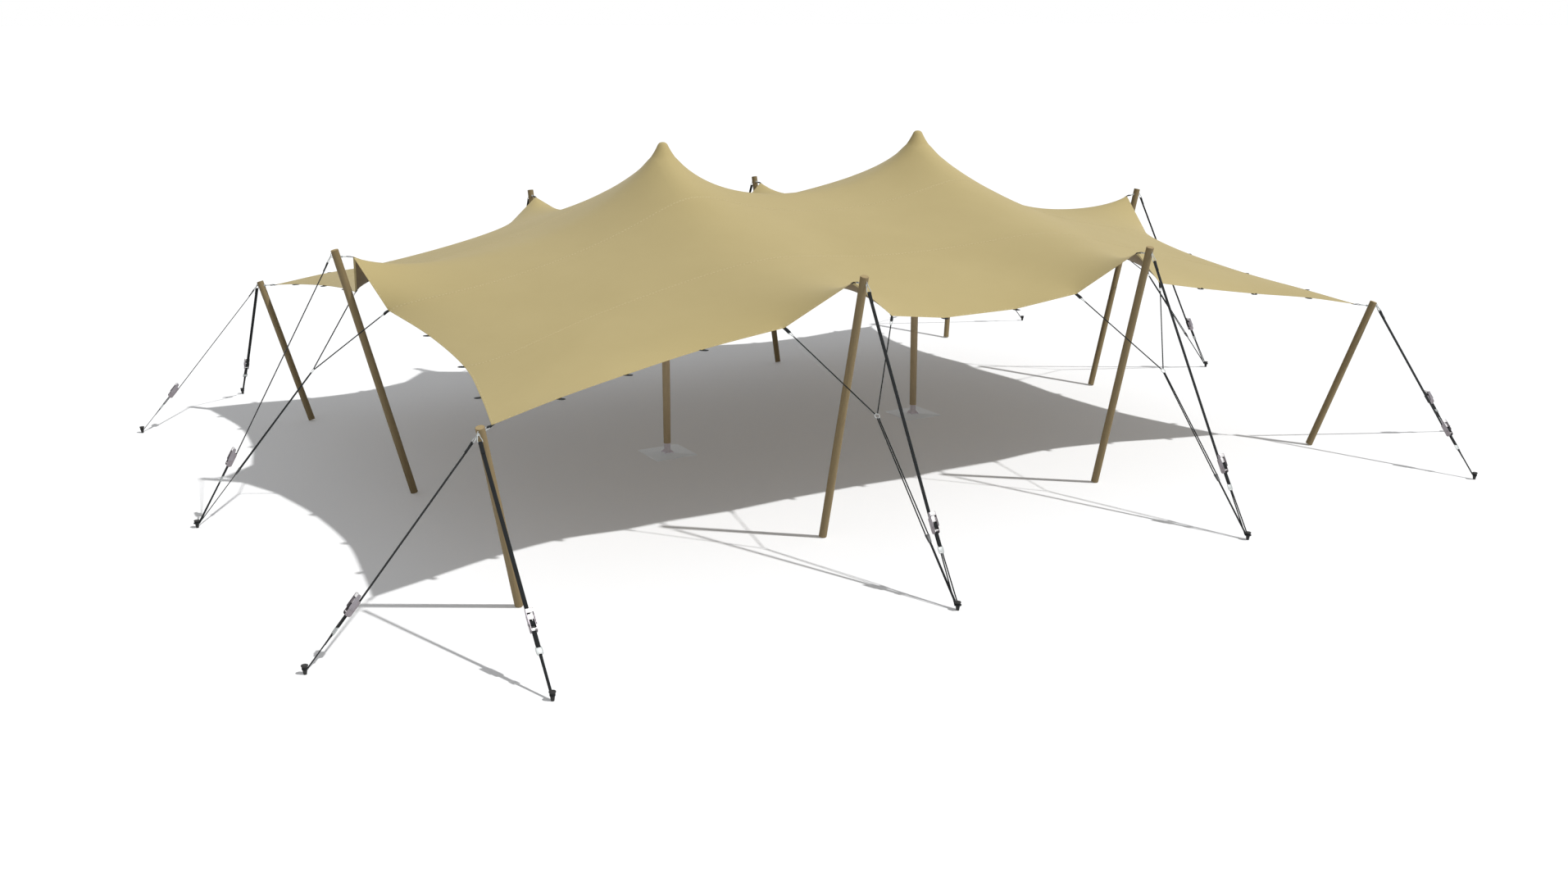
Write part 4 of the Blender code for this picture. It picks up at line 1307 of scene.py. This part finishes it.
def toothed_wheel(side):
    """A wheel with saw teeth, cut from a disc."""
    made = fresh(bpy.ops.mesh.primitive_circle_add, vertices=2 * WHEEL_TEETH, radius=WHEEL_LOW,
                 fill_type="NGON")
    step = math.pi / WHEEL_TEETH
    share = WHEEL_HIGH / WHEEL_LOW
    widen(made, lambda vert: round(math.atan2(vert.co.y, vert.co.x) / step) % 2 == 0, (share, share, 1))
    pick(made, "FACE", lambda face: True)
    bpy.ops.mesh.extrude_region_move(TRANSFORM_OT_translate={"value": (0, 0, WHEEL_THICK)})
    done()
    outwards(made)
    near = CHEEK_HALF + CHEEK_THICK + WHEEL_CLEAR
    made.data.transform(Matrix.Rotation(math.radians(90), 4, "X"))
    made.data.transform(Matrix.Translation((0, near + WHEEL_THICK if side > 0 else -near, 0)))
    return soften(made, 0.0004, 1)


drum_parts = [toothed_wheel(side) for side in (-1, 1)]
spindle_end = CHEEK_HALF + CHEEK_THICK + WHEEL_THICK + 0.0015
drum_parts.append(rod((0, -spindle_end, 0), (0, spindle_end, 0), SPINDLE_R))
drum_parts.append(rod((0, -CHEEK_HALF, 0), (0, CHEEK_HALF, 0), DRUM_R, 20))
drum_master = coated(together(drum_parts, "drum"), ZINC)
frame_master = together([frame_master, drum_master], "ratchet_frame")
print("frame and drum", len(frame_master.data.polygons), "faces")

# %% [markdown]
# The handle is pressed from sheet: two arms outside the wheels and a broad grip across their ends. It
# lies back along the strap when locked, and turns on the drum's axis.

# %% The handle
HANDLE_IN, HANDLE_ARM = 0.041, 0.003
HANDLE_TAIL, HANDLE_LENGTH = 0.018, 0.172
HANDLE_LOW, HANDLE_HIGH = -0.018, 0.048
NECK_LIFT = 0.026
GRIP_START, GRIP_LOW, GRIP_HIGH = 0.120, 0.016, 0.046
WASHER_R, WASHER_THICK = 0.011, 0.003


def handle_arm(side):
    """One arm: broad round the axis, narrower towards the grip."""
    low, high = sorted((side * HANDLE_IN, side * (HANDLE_IN + HANDLE_ARM)))
    made = block((-HANDLE_TAIL, low, HANDLE_LOW), (HANDLE_LENGTH, high, HANDLE_HIGH))
    shift(made, lambda vert: vert.co.x > 0 and vert.co.z < 0, (0, 0, NECK_LIFT))
    round_corners(made, runs_along(1), 0.014, 6)
    return soften(made, 0.0005, 1)


grip = block((GRIP_START, -HANDLE_IN - 0.001, GRIP_LOW),
             (HANDLE_LENGTH - 0.002, HANDLE_IN + 0.001, GRIP_HIGH))
round_corners(grip, runs_along(1), 0.009, 4)
soften(grip, 0.001)
outer = HANDLE_IN + HANDLE_ARM
washers = [rod((0, side * outer, 0), (0, side * (outer + WASHER_THICK), 0), WASHER_R) for side in (-1, 1)]
arms = coated(together([handle_arm(-1), handle_arm(1), *washers], "arms"), HANDLE_STEEL)
handle_master = together([arms, coated(grip, BRIGHT)], "ratchet_handle")
print("handle", len(handle_master.data.polygons), "faces")

# %% [markdown]
# Webbing meets webbing in a link, a rectangle of rod with a plate welded in. It meets a pole in a hook, a
# wire bent to a triangle: the webbing lies round its base, and its point hangs on a staple in the pole.
# On the sheet's side of the pole the hook goes through an eye on a small plate.

# %% Links, hooks, staples and eyes
LINK_HALF, LINK_WIRE = (0.045, 0.033), 0.006
LINK_PLATE = (0.032, 0.0025)
HOOK_LENGTH, HOOK_HALF, HOOK_WIRE = 0.120, 0.029, 0.005
HOOK_BASE, HOOK_BEND, HOOK_TIP, HOOK_TAPER = 0.006, 0.010, 0.012, 0.55
STAPLE_OUT, STAPLE_HALF, STAPLE_WIRE = 0.014, 0.026, 0.004
STAPLE_IN, STAPLE_BEND_X, STAPLE_BEND_Z = 0.008, 0.005, 0.006
EYE_PLATE, EYE_STEM = ((-0.003, 0.017), (0.002, 0.017), (0.004, 0.014)), ((0, 0.005), (0.010, 0.005))
EYE_R, EYE_WIRE, EYE_OUT = 0.012, 0.004, 0.020

link_plate = soften(block((-LINK_PLATE[0], -LINK_HALF[1], -LINK_PLATE[1]),
                          (LINK_PLATE[0], LINK_HALF[1], LINK_PLATE[1])), 0.001)
link_rod = bent_wire(rounded_frame(*LINK_HALF, 0.012), LINK_WIRE)
link_master = coated(together([link_rod, link_plate], "link"), WIRE)


def pole_hook(length, half=HOOK_HALF):
    """A wire bent to a triangle, its base at the origin and its point at a length along X."""
    side = [(0, half - HOOK_BASE), (HOOK_BEND, half), (length * HOOK_TAPER, half * HOOK_TAPER),
            (length - HOOK_TIP, HOOK_BEND)]
    other = [(x, -y) for x, y in side]
    outline = [other[0], (0, 0), *side, (length, 0), *other[:0:-1]]
    return bent_wire([(x, y, 0) for x, y in outline], HOOK_WIRE)


hook_master = coated(together([pole_hook(HOOK_LENGTH)], "hook"), WIRE)
leg = [(-STAPLE_IN, STAPLE_HALF), (STAPLE_OUT - STAPLE_BEND_X, STAPLE_HALF),
       (STAPLE_OUT, STAPLE_HALF - STAPLE_BEND_Z)]
outline = [*leg, (STAPLE_OUT, 0), *((x, -z) for x, z in reversed(leg))]
staple_master = bent_wire([(x, 0, z) for x, z in outline], STAPLE_WIRE, closed=False)
staple_master = coated(together([staple_master], "staple"), WIRE)


def pole_eye():
    """An eye on a round plate: the plate's back at the origin, the eye along X."""
    eye = wire_ring(EYE_R, EYE_WIRE, 8)
    eye.data.transform(Matrix.Translation((0, 0, EYE_OUT)) @ Matrix.Rotation(math.pi / 2, 4, "X"))
    made = together([turned(EYE_PLATE, 20), turned(EYE_STEM, 12), eye], "eye")
    made.data.transform(Matrix.Rotation(math.pi / 2, 4, "Y"))
    return coated(made, WIRE)


eye_master = pole_eye()
fittings = (link_master, hook_master, eye_master)
print("link, hook, eye", [len(part.data.polygons) for part in fittings], "faces")

# %% [markdown]
# Each strap has a frame of its own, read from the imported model: it starts at the loop round its stake's
# neck, X runs up the strap through the drum's axis, Y runs across it and Z points to its outer side. From
# the drum on it is aimed at the staple, on the side that the pole leans to.

# %% Read the straps
NECK_Z = 0.070
LOOP_R = 0.0384
HOOK_BELOW = {"corner": 0.045, "side": 0.080, "end": 0.065}
STAPLE_SHARE = 0.0055


def kind_of(pole):
    """Where a pole stands: at a corner, in a long side or in a short end."""
    return "corner" if pole.startswith("corner") else "end" if pole.startswith("end") else "side"


def head_of(pole):
    """A pole's head, the way up along it, and the side it leans to."""
    foot, head = AXES[pole]
    axis = (head - foot).normalized()
    return head, axis, (Vector((axis.x, axis.y, 0)) - axis * (1 - axis.z**2)).normalized()


def towards(start, end, up):
    """A placing at start with +X to end, its Z as near as can be to up."""
    along = (end - start).normalized()
    across = up.cross(along).normalized()
    return Matrix.Translation(start) @ Matrix((along, across, along.cross(across))).transposed().to_4x4()


class Strap:
    """One strap: its frame below the drum and above it, and how far the drum and the staple are."""

    def __init__(self, joint):
        self.body = joint["child"]
        self.name = self.body.removeprefix("handle_")
        self.kind = kind_of(self.name)
        self.pole = self.name.rsplit("_", 1)[0] if self.kind == "corner" else self.name
        drum = Vector(joint["pos_m"])
        self.neck = STAKES[self.name] + UP * NECK_Z
        level = drum - self.neck
        self.level = Vector((level.x, level.y, 0)).normalized()
        start = self.neck + self.level * LOOP_R
        self.place = towards(start, drum, UP)
        self.across = self.place.col[1].to_3d()
        self.outer = self.place.col[2].to_3d()
        self.drum = (drum - start).length
        head, axis, outward = head_of(self.pole)
        staple = head - axis * HOOK_BELOW[self.kind] + outward * (POLE_R + STAPLE_OUT)
        if self.kind == "corner":
            staple += axis * (STAPLE_SHARE if self.name.endswith("side") else -STAPLE_SHARE)
        self.upper = towards(drum, staple, self.outer)
        self.reach = (staple - drum).length + STAPLE_WIRE + HOOK_WIRE

    def at(self, x, y=0.0, z=0.0):
        """A placing at a point of the strap's frame."""
        return self.place @ Matrix.Translation((x, y, z))

    def at_stake(self, x, y):
        """A point level with the stake's neck, x towards the pole, in the strap's frame."""
        return self.place.inverted() @ (self.neck + self.level * x + self.across * y)


STRAPS = [Strap(joint) for joint in frame["joints"]]
print({strap.name: round(strap.drum + strap.reach, 2) for strap in STRAPS})

# %% [markdown]
# The webbing is four strips. A loop goes round the stake. A narrow tail, or on the long straps a pair of
# thin ropes, goes up to the link. A short wide piece runs doubled between the link and the ratchet's
# bolt. The main strap starts as a roll on the drum and runs up to the hook, where it is turned back and
# sewn.

# %% The webbing of a strap
WEBBING_WIDTH, WEBBING_THICK = 0.050, 0.003
TAIL_WIDTH, TAIL_START = 0.034, -0.006
NECK_LOOP_R, NECK_LOOP_WIDTH = 0.0315, 0.024
LINK_BELOW_DRUM = 0.308
ROLL_TURNS, ROLL_IN, ROLL_OUT = 4, 0.0205, 0.0355
SEWN_BACK = 0.14
ROPE_R, ROPES_AT_STAKE, ROPES_AT_LINK = 0.0085, 0.044, 0.022
WRAP_CLEAR = 0.0005
Y_AXIS = (0, 1, 0)


def stake_loop(strap, radius, outline, finish, spread=20):
    """Webbing or rope round a stake's neck, open towards the strap."""
    turns = np.radians(np.linspace(spread, 360 - spread, 21))
    points = [strap.at_stake(radius * math.cos(turn), radius * math.sin(turn)) for turn in turns]
    return sweep("loop", points, strap.place.to_3x3().inverted() @ UP, outline, finish)


def webbing_strip(points, width, layer, closed=False):
    """Webbing through points (x, z) of the strap's frame."""
    path = [(x, 0, z) for x, z in points]
    return sweep("webbing", path, Y_AXIS, flat_outline(width, layer), WEBBING, closed)


def turned_back(start, end, width, layer):
    """Webbing from start to end, taken round a bar there and sewn back on itself."""
    bend = LINK_WIRE + layer / 2 + WRAP_CLEAR
    run = [(start + (end - start) * share, layer / 2 + (bend - layer / 2) * share**8)
           for share in np.linspace(0, 1, 12)]
    turn = arc((end, 0), bend, 90, -90, 9)
    back = [(end - SEWN_BACK * share, -bend + (bend - layer / 2) * min(1, 3 * share))
            for share in np.linspace(0.08, 1, 10)]
    return webbing_strip(run + turn + back, width, layer)


def doubled(start, end, width, layer):
    """Webbing that runs doubled round two bars."""
    bend = LINK_WIRE + layer / 2 + WRAP_CLEAR
    lower = arc((start, 0), bend, 90, 270, 9)
    upper = arc((end, 0), bend, 270, 450, 9)
    return webbing_strip(lower + upper, width, layer, closed=True)


def main_webbing(end):
    """The roll on the drum, the long strap and its sewn end at the hook, from the drum's axis on."""
    turns = np.linspace(0, 2 * math.pi * ROLL_TURNS, 24 * ROLL_TURNS + 1)
    radii = np.linspace(ROLL_IN, ROLL_OUT, len(turns))
    leave = -math.pi / 2
    roll = [(radius * math.cos(leave + turn - turns[-1]), radius * math.sin(leave + turn - turns[-1]))
            for radius, turn in zip(radii, turns)]
    bend = HOOK_WIRE + WEBBING_THICK / 2 + WRAP_CLEAR
    run = [(end * share, -ROLL_OUT + (ROLL_OUT - bend) * share) for share in np.linspace(0, 1, 14)[1:]]
    turn = arc((end, 0), bend, -90, 90, 9)[1:]
    back = [(end - SEWN_BACK * share, bend - (bend + WRAP_CLEAR) * min(1, 2 * share))
            for share in np.linspace(0.1, 1, 10)]
    return webbing_strip(roll + run + turn + back, WEBBING_WIDTH, WEBBING_THICK)


def rope(start, end, across=UP):
    """A thin rope between two points."""
    points = [start.lerp(end, share) for share in np.linspace(0, 1, 6)]
    return sweep("rope", points, across, round_outline(ROPE_R), ROPE)


def strap_webbing(strap):
    """All the webbing and rope of one strap, in its own frame."""
    link = strap.drum - LINK_BELOW_DRUM
    bolt = strap.drum + BOLT_X
    link_low, link_high = link - LINK_HALF[0], link + LINK_HALF[0]
    main = main_webbing(strap.reach - HOOK_LENGTH)
    main.data.transform(strap.place.inverted() @ strap.upper)
    pieces = [doubled(link_high, bolt, WEBBING_WIDTH, WEBBING_THICK), main]
    if strap.kind == "corner":
        pieces.append(stake_loop(strap, NECK_LOOP_R, flat_outline(NECK_LOOP_WIDTH, WEBBING_THICK), WEBBING))
        pieces.append(turned_back(TAIL_START, link_low, TAIL_WIDTH, WEBBING_THICK))
    else:
        pieces.append(stake_loop(strap, LOOP_R, round_outline(ROPE_R), ROPE, 35))
        for side in (-1, 1):
            low = strap.at_stake(LOOP_R - 0.006, side * ROPES_AT_STAKE / 2)
            pieces.append(rope(low, Vector((link_low + 0.004, side * ROPES_AT_LINK / 2, 0))))
    return pieces


for strap in STRAPS:
    webbing = together(strap_webbing(strap), "webbing_" + strap.name)
    webbing.data.transform(strap.place)
    show(webbing, "tent", "black_webbing", "strap_" + strap.name)
print(len(STRAPS), "straps of webbing")

# %% [markdown]
# Now the steel of each strap is copied to its place: the ratchet's frame and handle on the drum's axis,
# the link below it, and the hook at the pole.

# %% The steel of each strap
for strap in STRAPS:
    made = placed(frame_master, "ratchet_frame_" + strap.name, strap.at(strap.drum))
    show(made, "tent", "zinc_steel")
    made = placed(handle_master, "handle_of_" + strap.name, strap.at(strap.drum))
    show(made, strap.body, "zinc_steel", "ratchet_handle_" + strap.name)
    hook = strap.upper @ Matrix.Translation((strap.reach - HOOK_LENGTH, 0, 0))
    link = strap.at(strap.drum - LINK_BELOW_DRUM)
    parts = [placed(link_master, "link", link), placed(hook_master, "hook", hook)]
    show(together(parts, "rings_" + strap.name), "tent", "zinc_steel")
for master in (frame_master, handle_master):
    bpy.data.objects.remove(master)
print(len(STRAPS), "ratchets")

# %% [markdown]
# Every metre along the hem a loop of webbing is sewn in, fifty in all. A loop that nothing pulls lies
# flat and level: its strip goes out, turns and comes back beside itself. One that a rope or a pole pulls
# is folded in two and points straight at it.

# %% The hem's loops
LOOP_WIDTH = 0.042
LOOP_SEWN, LOOP_TURN, LOOP_LEG = 0.030, 0.024, 0.044
PULLED_REACH = 0.10
PULLED_FOLD = ((0.030, 0.004), (0.060, 0.008), (0.088, 0.007), (PULLED_REACH, 0.0), (0.088, -0.007),
               (0.060, -0.008), (0.030, -0.006))
TIP_BELOW = {"corner": 0.08, "side": 0.10, "end": 0.10}


def level_loop(inside, edge, below, out):
    """A flat loop that sticks out level from the edge."""
    reach = Vector((out.x, out.y, 0)).normalized()
    width = reach.cross(UP)
    path, across = [], []
    for turn in np.radians(np.linspace(0, 180, 13)):
        radial = reach * math.sin(turn) - width * math.cos(turn)
        path.append(edge + below + reach * LOOP_LEG + radial * LOOP_TURN)
        across.append(radial)
    legs = [inside + below, edge + below, edge + below + reach * (LOOP_LEG / 2)]
    there, back = ([spot + width * way for spot in legs] for way in (-LOOP_TURN, LOOP_TURN))
    path = there + path + back[::-1]
    across = [-width] * len(legs) + across + [width] * len(legs)
    return sweep("loop", path, across, flat_outline(LOOP_WIDTH, WEBBING_THICK), WEBBING)


def hem_loop(along, across, aim=None):
    """A loop of webbing at a place on the edge, folded towards aim if something pulls it."""
    inward_x = -np.sign(along) if abs(along) > SHEET_LENGTH / 2 - TINY else 0
    inward_y = -np.sign(across) if abs(across) > SHEET_WIDTH / 2 - TINY else 0
    edge = Vector(on_sheet(along, across))
    inside = Vector(on_sheet(along + inward_x * LOOP_SEWN, across + inward_y * LOOP_SEWN))
    out = (edge - inside).normalized()
    up = Vector(on_sheet(along, across, 1.0)) - edge
    below = up * -(HEM_RISE + WEBBING_THICK)
    if not aim:
        return level_loop(inside, edge, below, out), edge, out
    width = out.cross(up).normalized()
    reach = (aim - edge).normalized()
    rise = width.cross(reach).normalized()
    if rise.dot(up) < 0:
        rise = -rise
    fold = [edge + reach * away + rise * lift for away, lift in PULLED_FOLD]
    points = [inside + below, edge + below * 0.7, *fold, edge + below * 1.4, inside + below * 1.5]
    loop = sweep("loop", points, width, flat_outline(LOOP_WIDTH, WEBBING_THICK), WEBBING)
    return loop, edge + reach * PULLED_REACH, reach


BRIDLE_RINGS = {"side": (2.500, 6.150, 2.037), "end": (8.133, 0.0, 2.070)}
BESIDE_SIDE, BESIDE_END = (1.5, 3.5), (-1.0, 1.0)


def bridle_ring(pole):
    """Where the ring of a pole's bridle is."""
    (along, across), (x, y, z) = POLES[pole], BRIDLE_RINGS[kind_of(pole)]
    return Vector((math.copysign(x, along), math.copysign(y, across), z))


def bridle_loops(pole):
    """The places of the two hem loops that a pole's bridle pulls."""
    along, across = POLES[pole]
    if kind_of(pole) == "end":
        return [(along, beside) for beside in BESIDE_END]
    return [(math.copysign(beside, along), across) for beside in BESIDE_SIDE]


def tied_to(pole):
    """The point of a pole's axis that the sheet's tip is tied to."""
    head, axis, _ = head_of(pole)
    return head - axis * TIP_BELOW[kind_of(pole)]


def pulled_loops():
    """What pulls the loops: a pole at each tip, and a bridle's ring at the loops beside some poles."""
    aims = {place: tied_to(pole) for pole, place in POLES.items()}
    for pole in POLES:
        if kind_of(pole) != "corner":
            aims.update((place, bridle_ring(pole)) for place in bridle_loops(pole))
    return aims


AIMS = pulled_loops()
PLACES = [(way * place, side * SHEET_WIDTH / 2) for side in (-1, 1) for way in (-1, 1) for place in LONG_HEM]
PLACES += [(side * SHEET_LENGTH / 2, way * place) for side in (-1, 1) for way in (-1, 1)
           for place in SHORT_HEM if 0 < place < SHEET_WIDTH / 2]
PLACES += [(side * SHEET_LENGTH / 2, 0.0) for side in (-1, 1)]
LOOP_ENDS = {}
loops = []
for place in PLACES:
    loop, tip, reach = hem_loop(*place, AIMS.get(place))
    loops.append(loop)
    LOOP_ENDS[place] = (tip, reach)
hem_loops = together(loops, "hem_loops")
show(hem_loops, "tent", "black_webbing")
print(len(PLACES), "loops on the hem,", len(AIMS), "of them pulled")

# %% [markdown]
# At each tip a wire hook joins the sheet's loop to an eye on the inner side of the pole. The staple for the
# straps is on the other side.

# %% The fittings of the poles
for name, place in POLES.items():
    tip, reach = LOOP_ENDS[place]
    centre = tied_to(name)
    skin = centre - (centre - tip).normalized() * POLE_R
    length = (skin - tip).length
    head, axis, outward = head_of(name)
    staple = head - axis * HOOK_BELOW[kind_of(name)] + outward * POLE_R
    hook = coated(together([pole_hook(max(0.03, length - 0.012) + 0.006, 0.024)], "hook"), WIRE)
    parts = [placed(hook, "hook", towards(tip - reach * 0.008, skin, axis)),
             placed(eye_master, "eye", towards(skin, tip, axis)),
             placed(staple_master, "staple", towards(staple, staple + outward, axis))]
    bpy.data.objects.remove(hook)
    show(together(parts, "tip_hook_" + name), "tent", "zinc_steel")
    print(name, "tip to pole", round(length, 3))

# %% [markdown]
# Six bridles steady the hem beside the poles that are not at a corner. Two thin ropes run down from the
# loops beside the pole to a ring. From the ring a doubled rope goes to a buckle, and one flat strap from
# the buckle to the stake.

# %% The bridles
BRIDLE_RING_R, BRIDLE_WIRE = 0.034, 0.005
BUCKLE_PLACE = 0.89
BUCKLE_LONG, BUCKLE_WIDE, BUCKLE_THICK = 0.110, 0.062, 0.022
BUCKLE_TAPER = (1, 0.62, 0.8)
BRIDLE_AT_RING, BRIDLE_AT_BUCKLE = 0.022, 0.042
HOOK_SHORT = 0.07


def buckle():
    """A triangular slide buckle: wide above for two ropes, narrow below for one strap."""
    half = BUCKLE_WIDE / 2
    made = block((-BUCKLE_LONG / 2, -half, -BUCKLE_THICK / 2), (BUCKLE_LONG / 2, half, BUCKLE_THICK / 2))
    widen(made, lambda vert: vert.co.x < 0, BUCKLE_TAPER)
    pick(made, "FACE", lambda face: abs(face.normal.z) > 0.9)
    bpy.ops.mesh.inset(thickness=0.012, depth=-0.004, use_individual=True)
    done()
    round_corners(made, runs_along(2), 0.008, 4)
    return coated(together([soften(made, 0.0012)], "buckle"), NYLON)


buckle_master = buckle()
ring_master = coated(together([wire_ring(BRIDLE_RING_R, BRIDLE_WIRE, 12)], "ring"), WIRE)
short_hook = coated(together([pole_hook(HOOK_SHORT, 0.018)], "short_hook"), WIRE)


def level_rope(start, end):
    """A rope whose weave is level from side to side."""
    return rope(start, end, (end - start).cross(UP))


def add_bridle(strap):
    """The ropes, ring, buckle and strap of the bridle beside a strap."""
    meeting = bridle_ring(strap.pole)
    start = strap.place.translation
    place = towards(start, meeting, strap.outer)
    along, across, normal = (place.col[column].to_3d() for column in range(3))
    low = start + along * (BUCKLE_PLACE - BUCKLE_LONG / 2)
    flat = [start.lerp(low + along * 0.02, share) for share in np.linspace(0, 1, 8)]
    soft = [sweep("bridle", flat, across, flat_outline(TAIL_WIDTH, WEBBING_THICK), WEBBING)]
    for side in (-1, 1):
        offset = across * (side * BRIDLE_AT_RING / 2)
        rim = math.sqrt(BRIDLE_RING_R**2 - offset.length_squared)
        low = start + along * (BUCKLE_PLACE + 0.03) + across * (side * BRIDLE_AT_BUCKLE / 2)
        soft.append(level_rope(low, meeting - along * rim + offset))
    steel_rings = [placed(ring_master, "ring", Matrix.Translation(meeting) @ place.to_3x3().to_4x4())]
    for spot in bridle_loops(strap.pole):
        tip, reach = LOOP_ENDS[spot]
        away = (meeting - tip).normalized()
        steel_rings.append(placed(short_hook, "hook", towards(tip - reach * 0.006, meeting, normal)))
        soft.append(level_rope(tip + away * (HOOK_SHORT - 0.008), meeting - away * BRIDLE_RING_R))
    show(together(soft, "bridle_" + strap.name), "tent", "black_webbing")
    show(together(steel_rings, "bridle_rings_" + strap.name), "tent", "zinc_steel")
    made = placed(buckle_master, "buckle_" + strap.name, place @ Matrix.Translation((BUCKLE_PLACE, 0, 0)))
    show(made, "tent", "black_webbing")


for strap in STRAPS:
    if strap.kind != "corner":
        add_bridle(strap)
for master in (buckle_master, ring_master, short_hook, link_master, hook_master, eye_master, staple_master):
    bpy.data.objects.remove(master)
print("six bridles")

# %% [markdown]
# The pieces are counted, with their triangles.

triangles = sum(len(polygon.vertices) - 2 for piece in SHOWN for polygon in piece.data.polygons)
print(len(SHOWN), "pieces,", triangles, "triangles")

# %% [markdown]
# Last, the visual model's box is compared with the frame's box, and the largest difference is printed.

# %% Compare the sizes
visual_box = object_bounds()
differences = [abs(a - b) for pair in zip(CAD_BOX, visual_box) for a, b in zip(*pair)]
print("largest difference", round(max(differences), 4), "m")
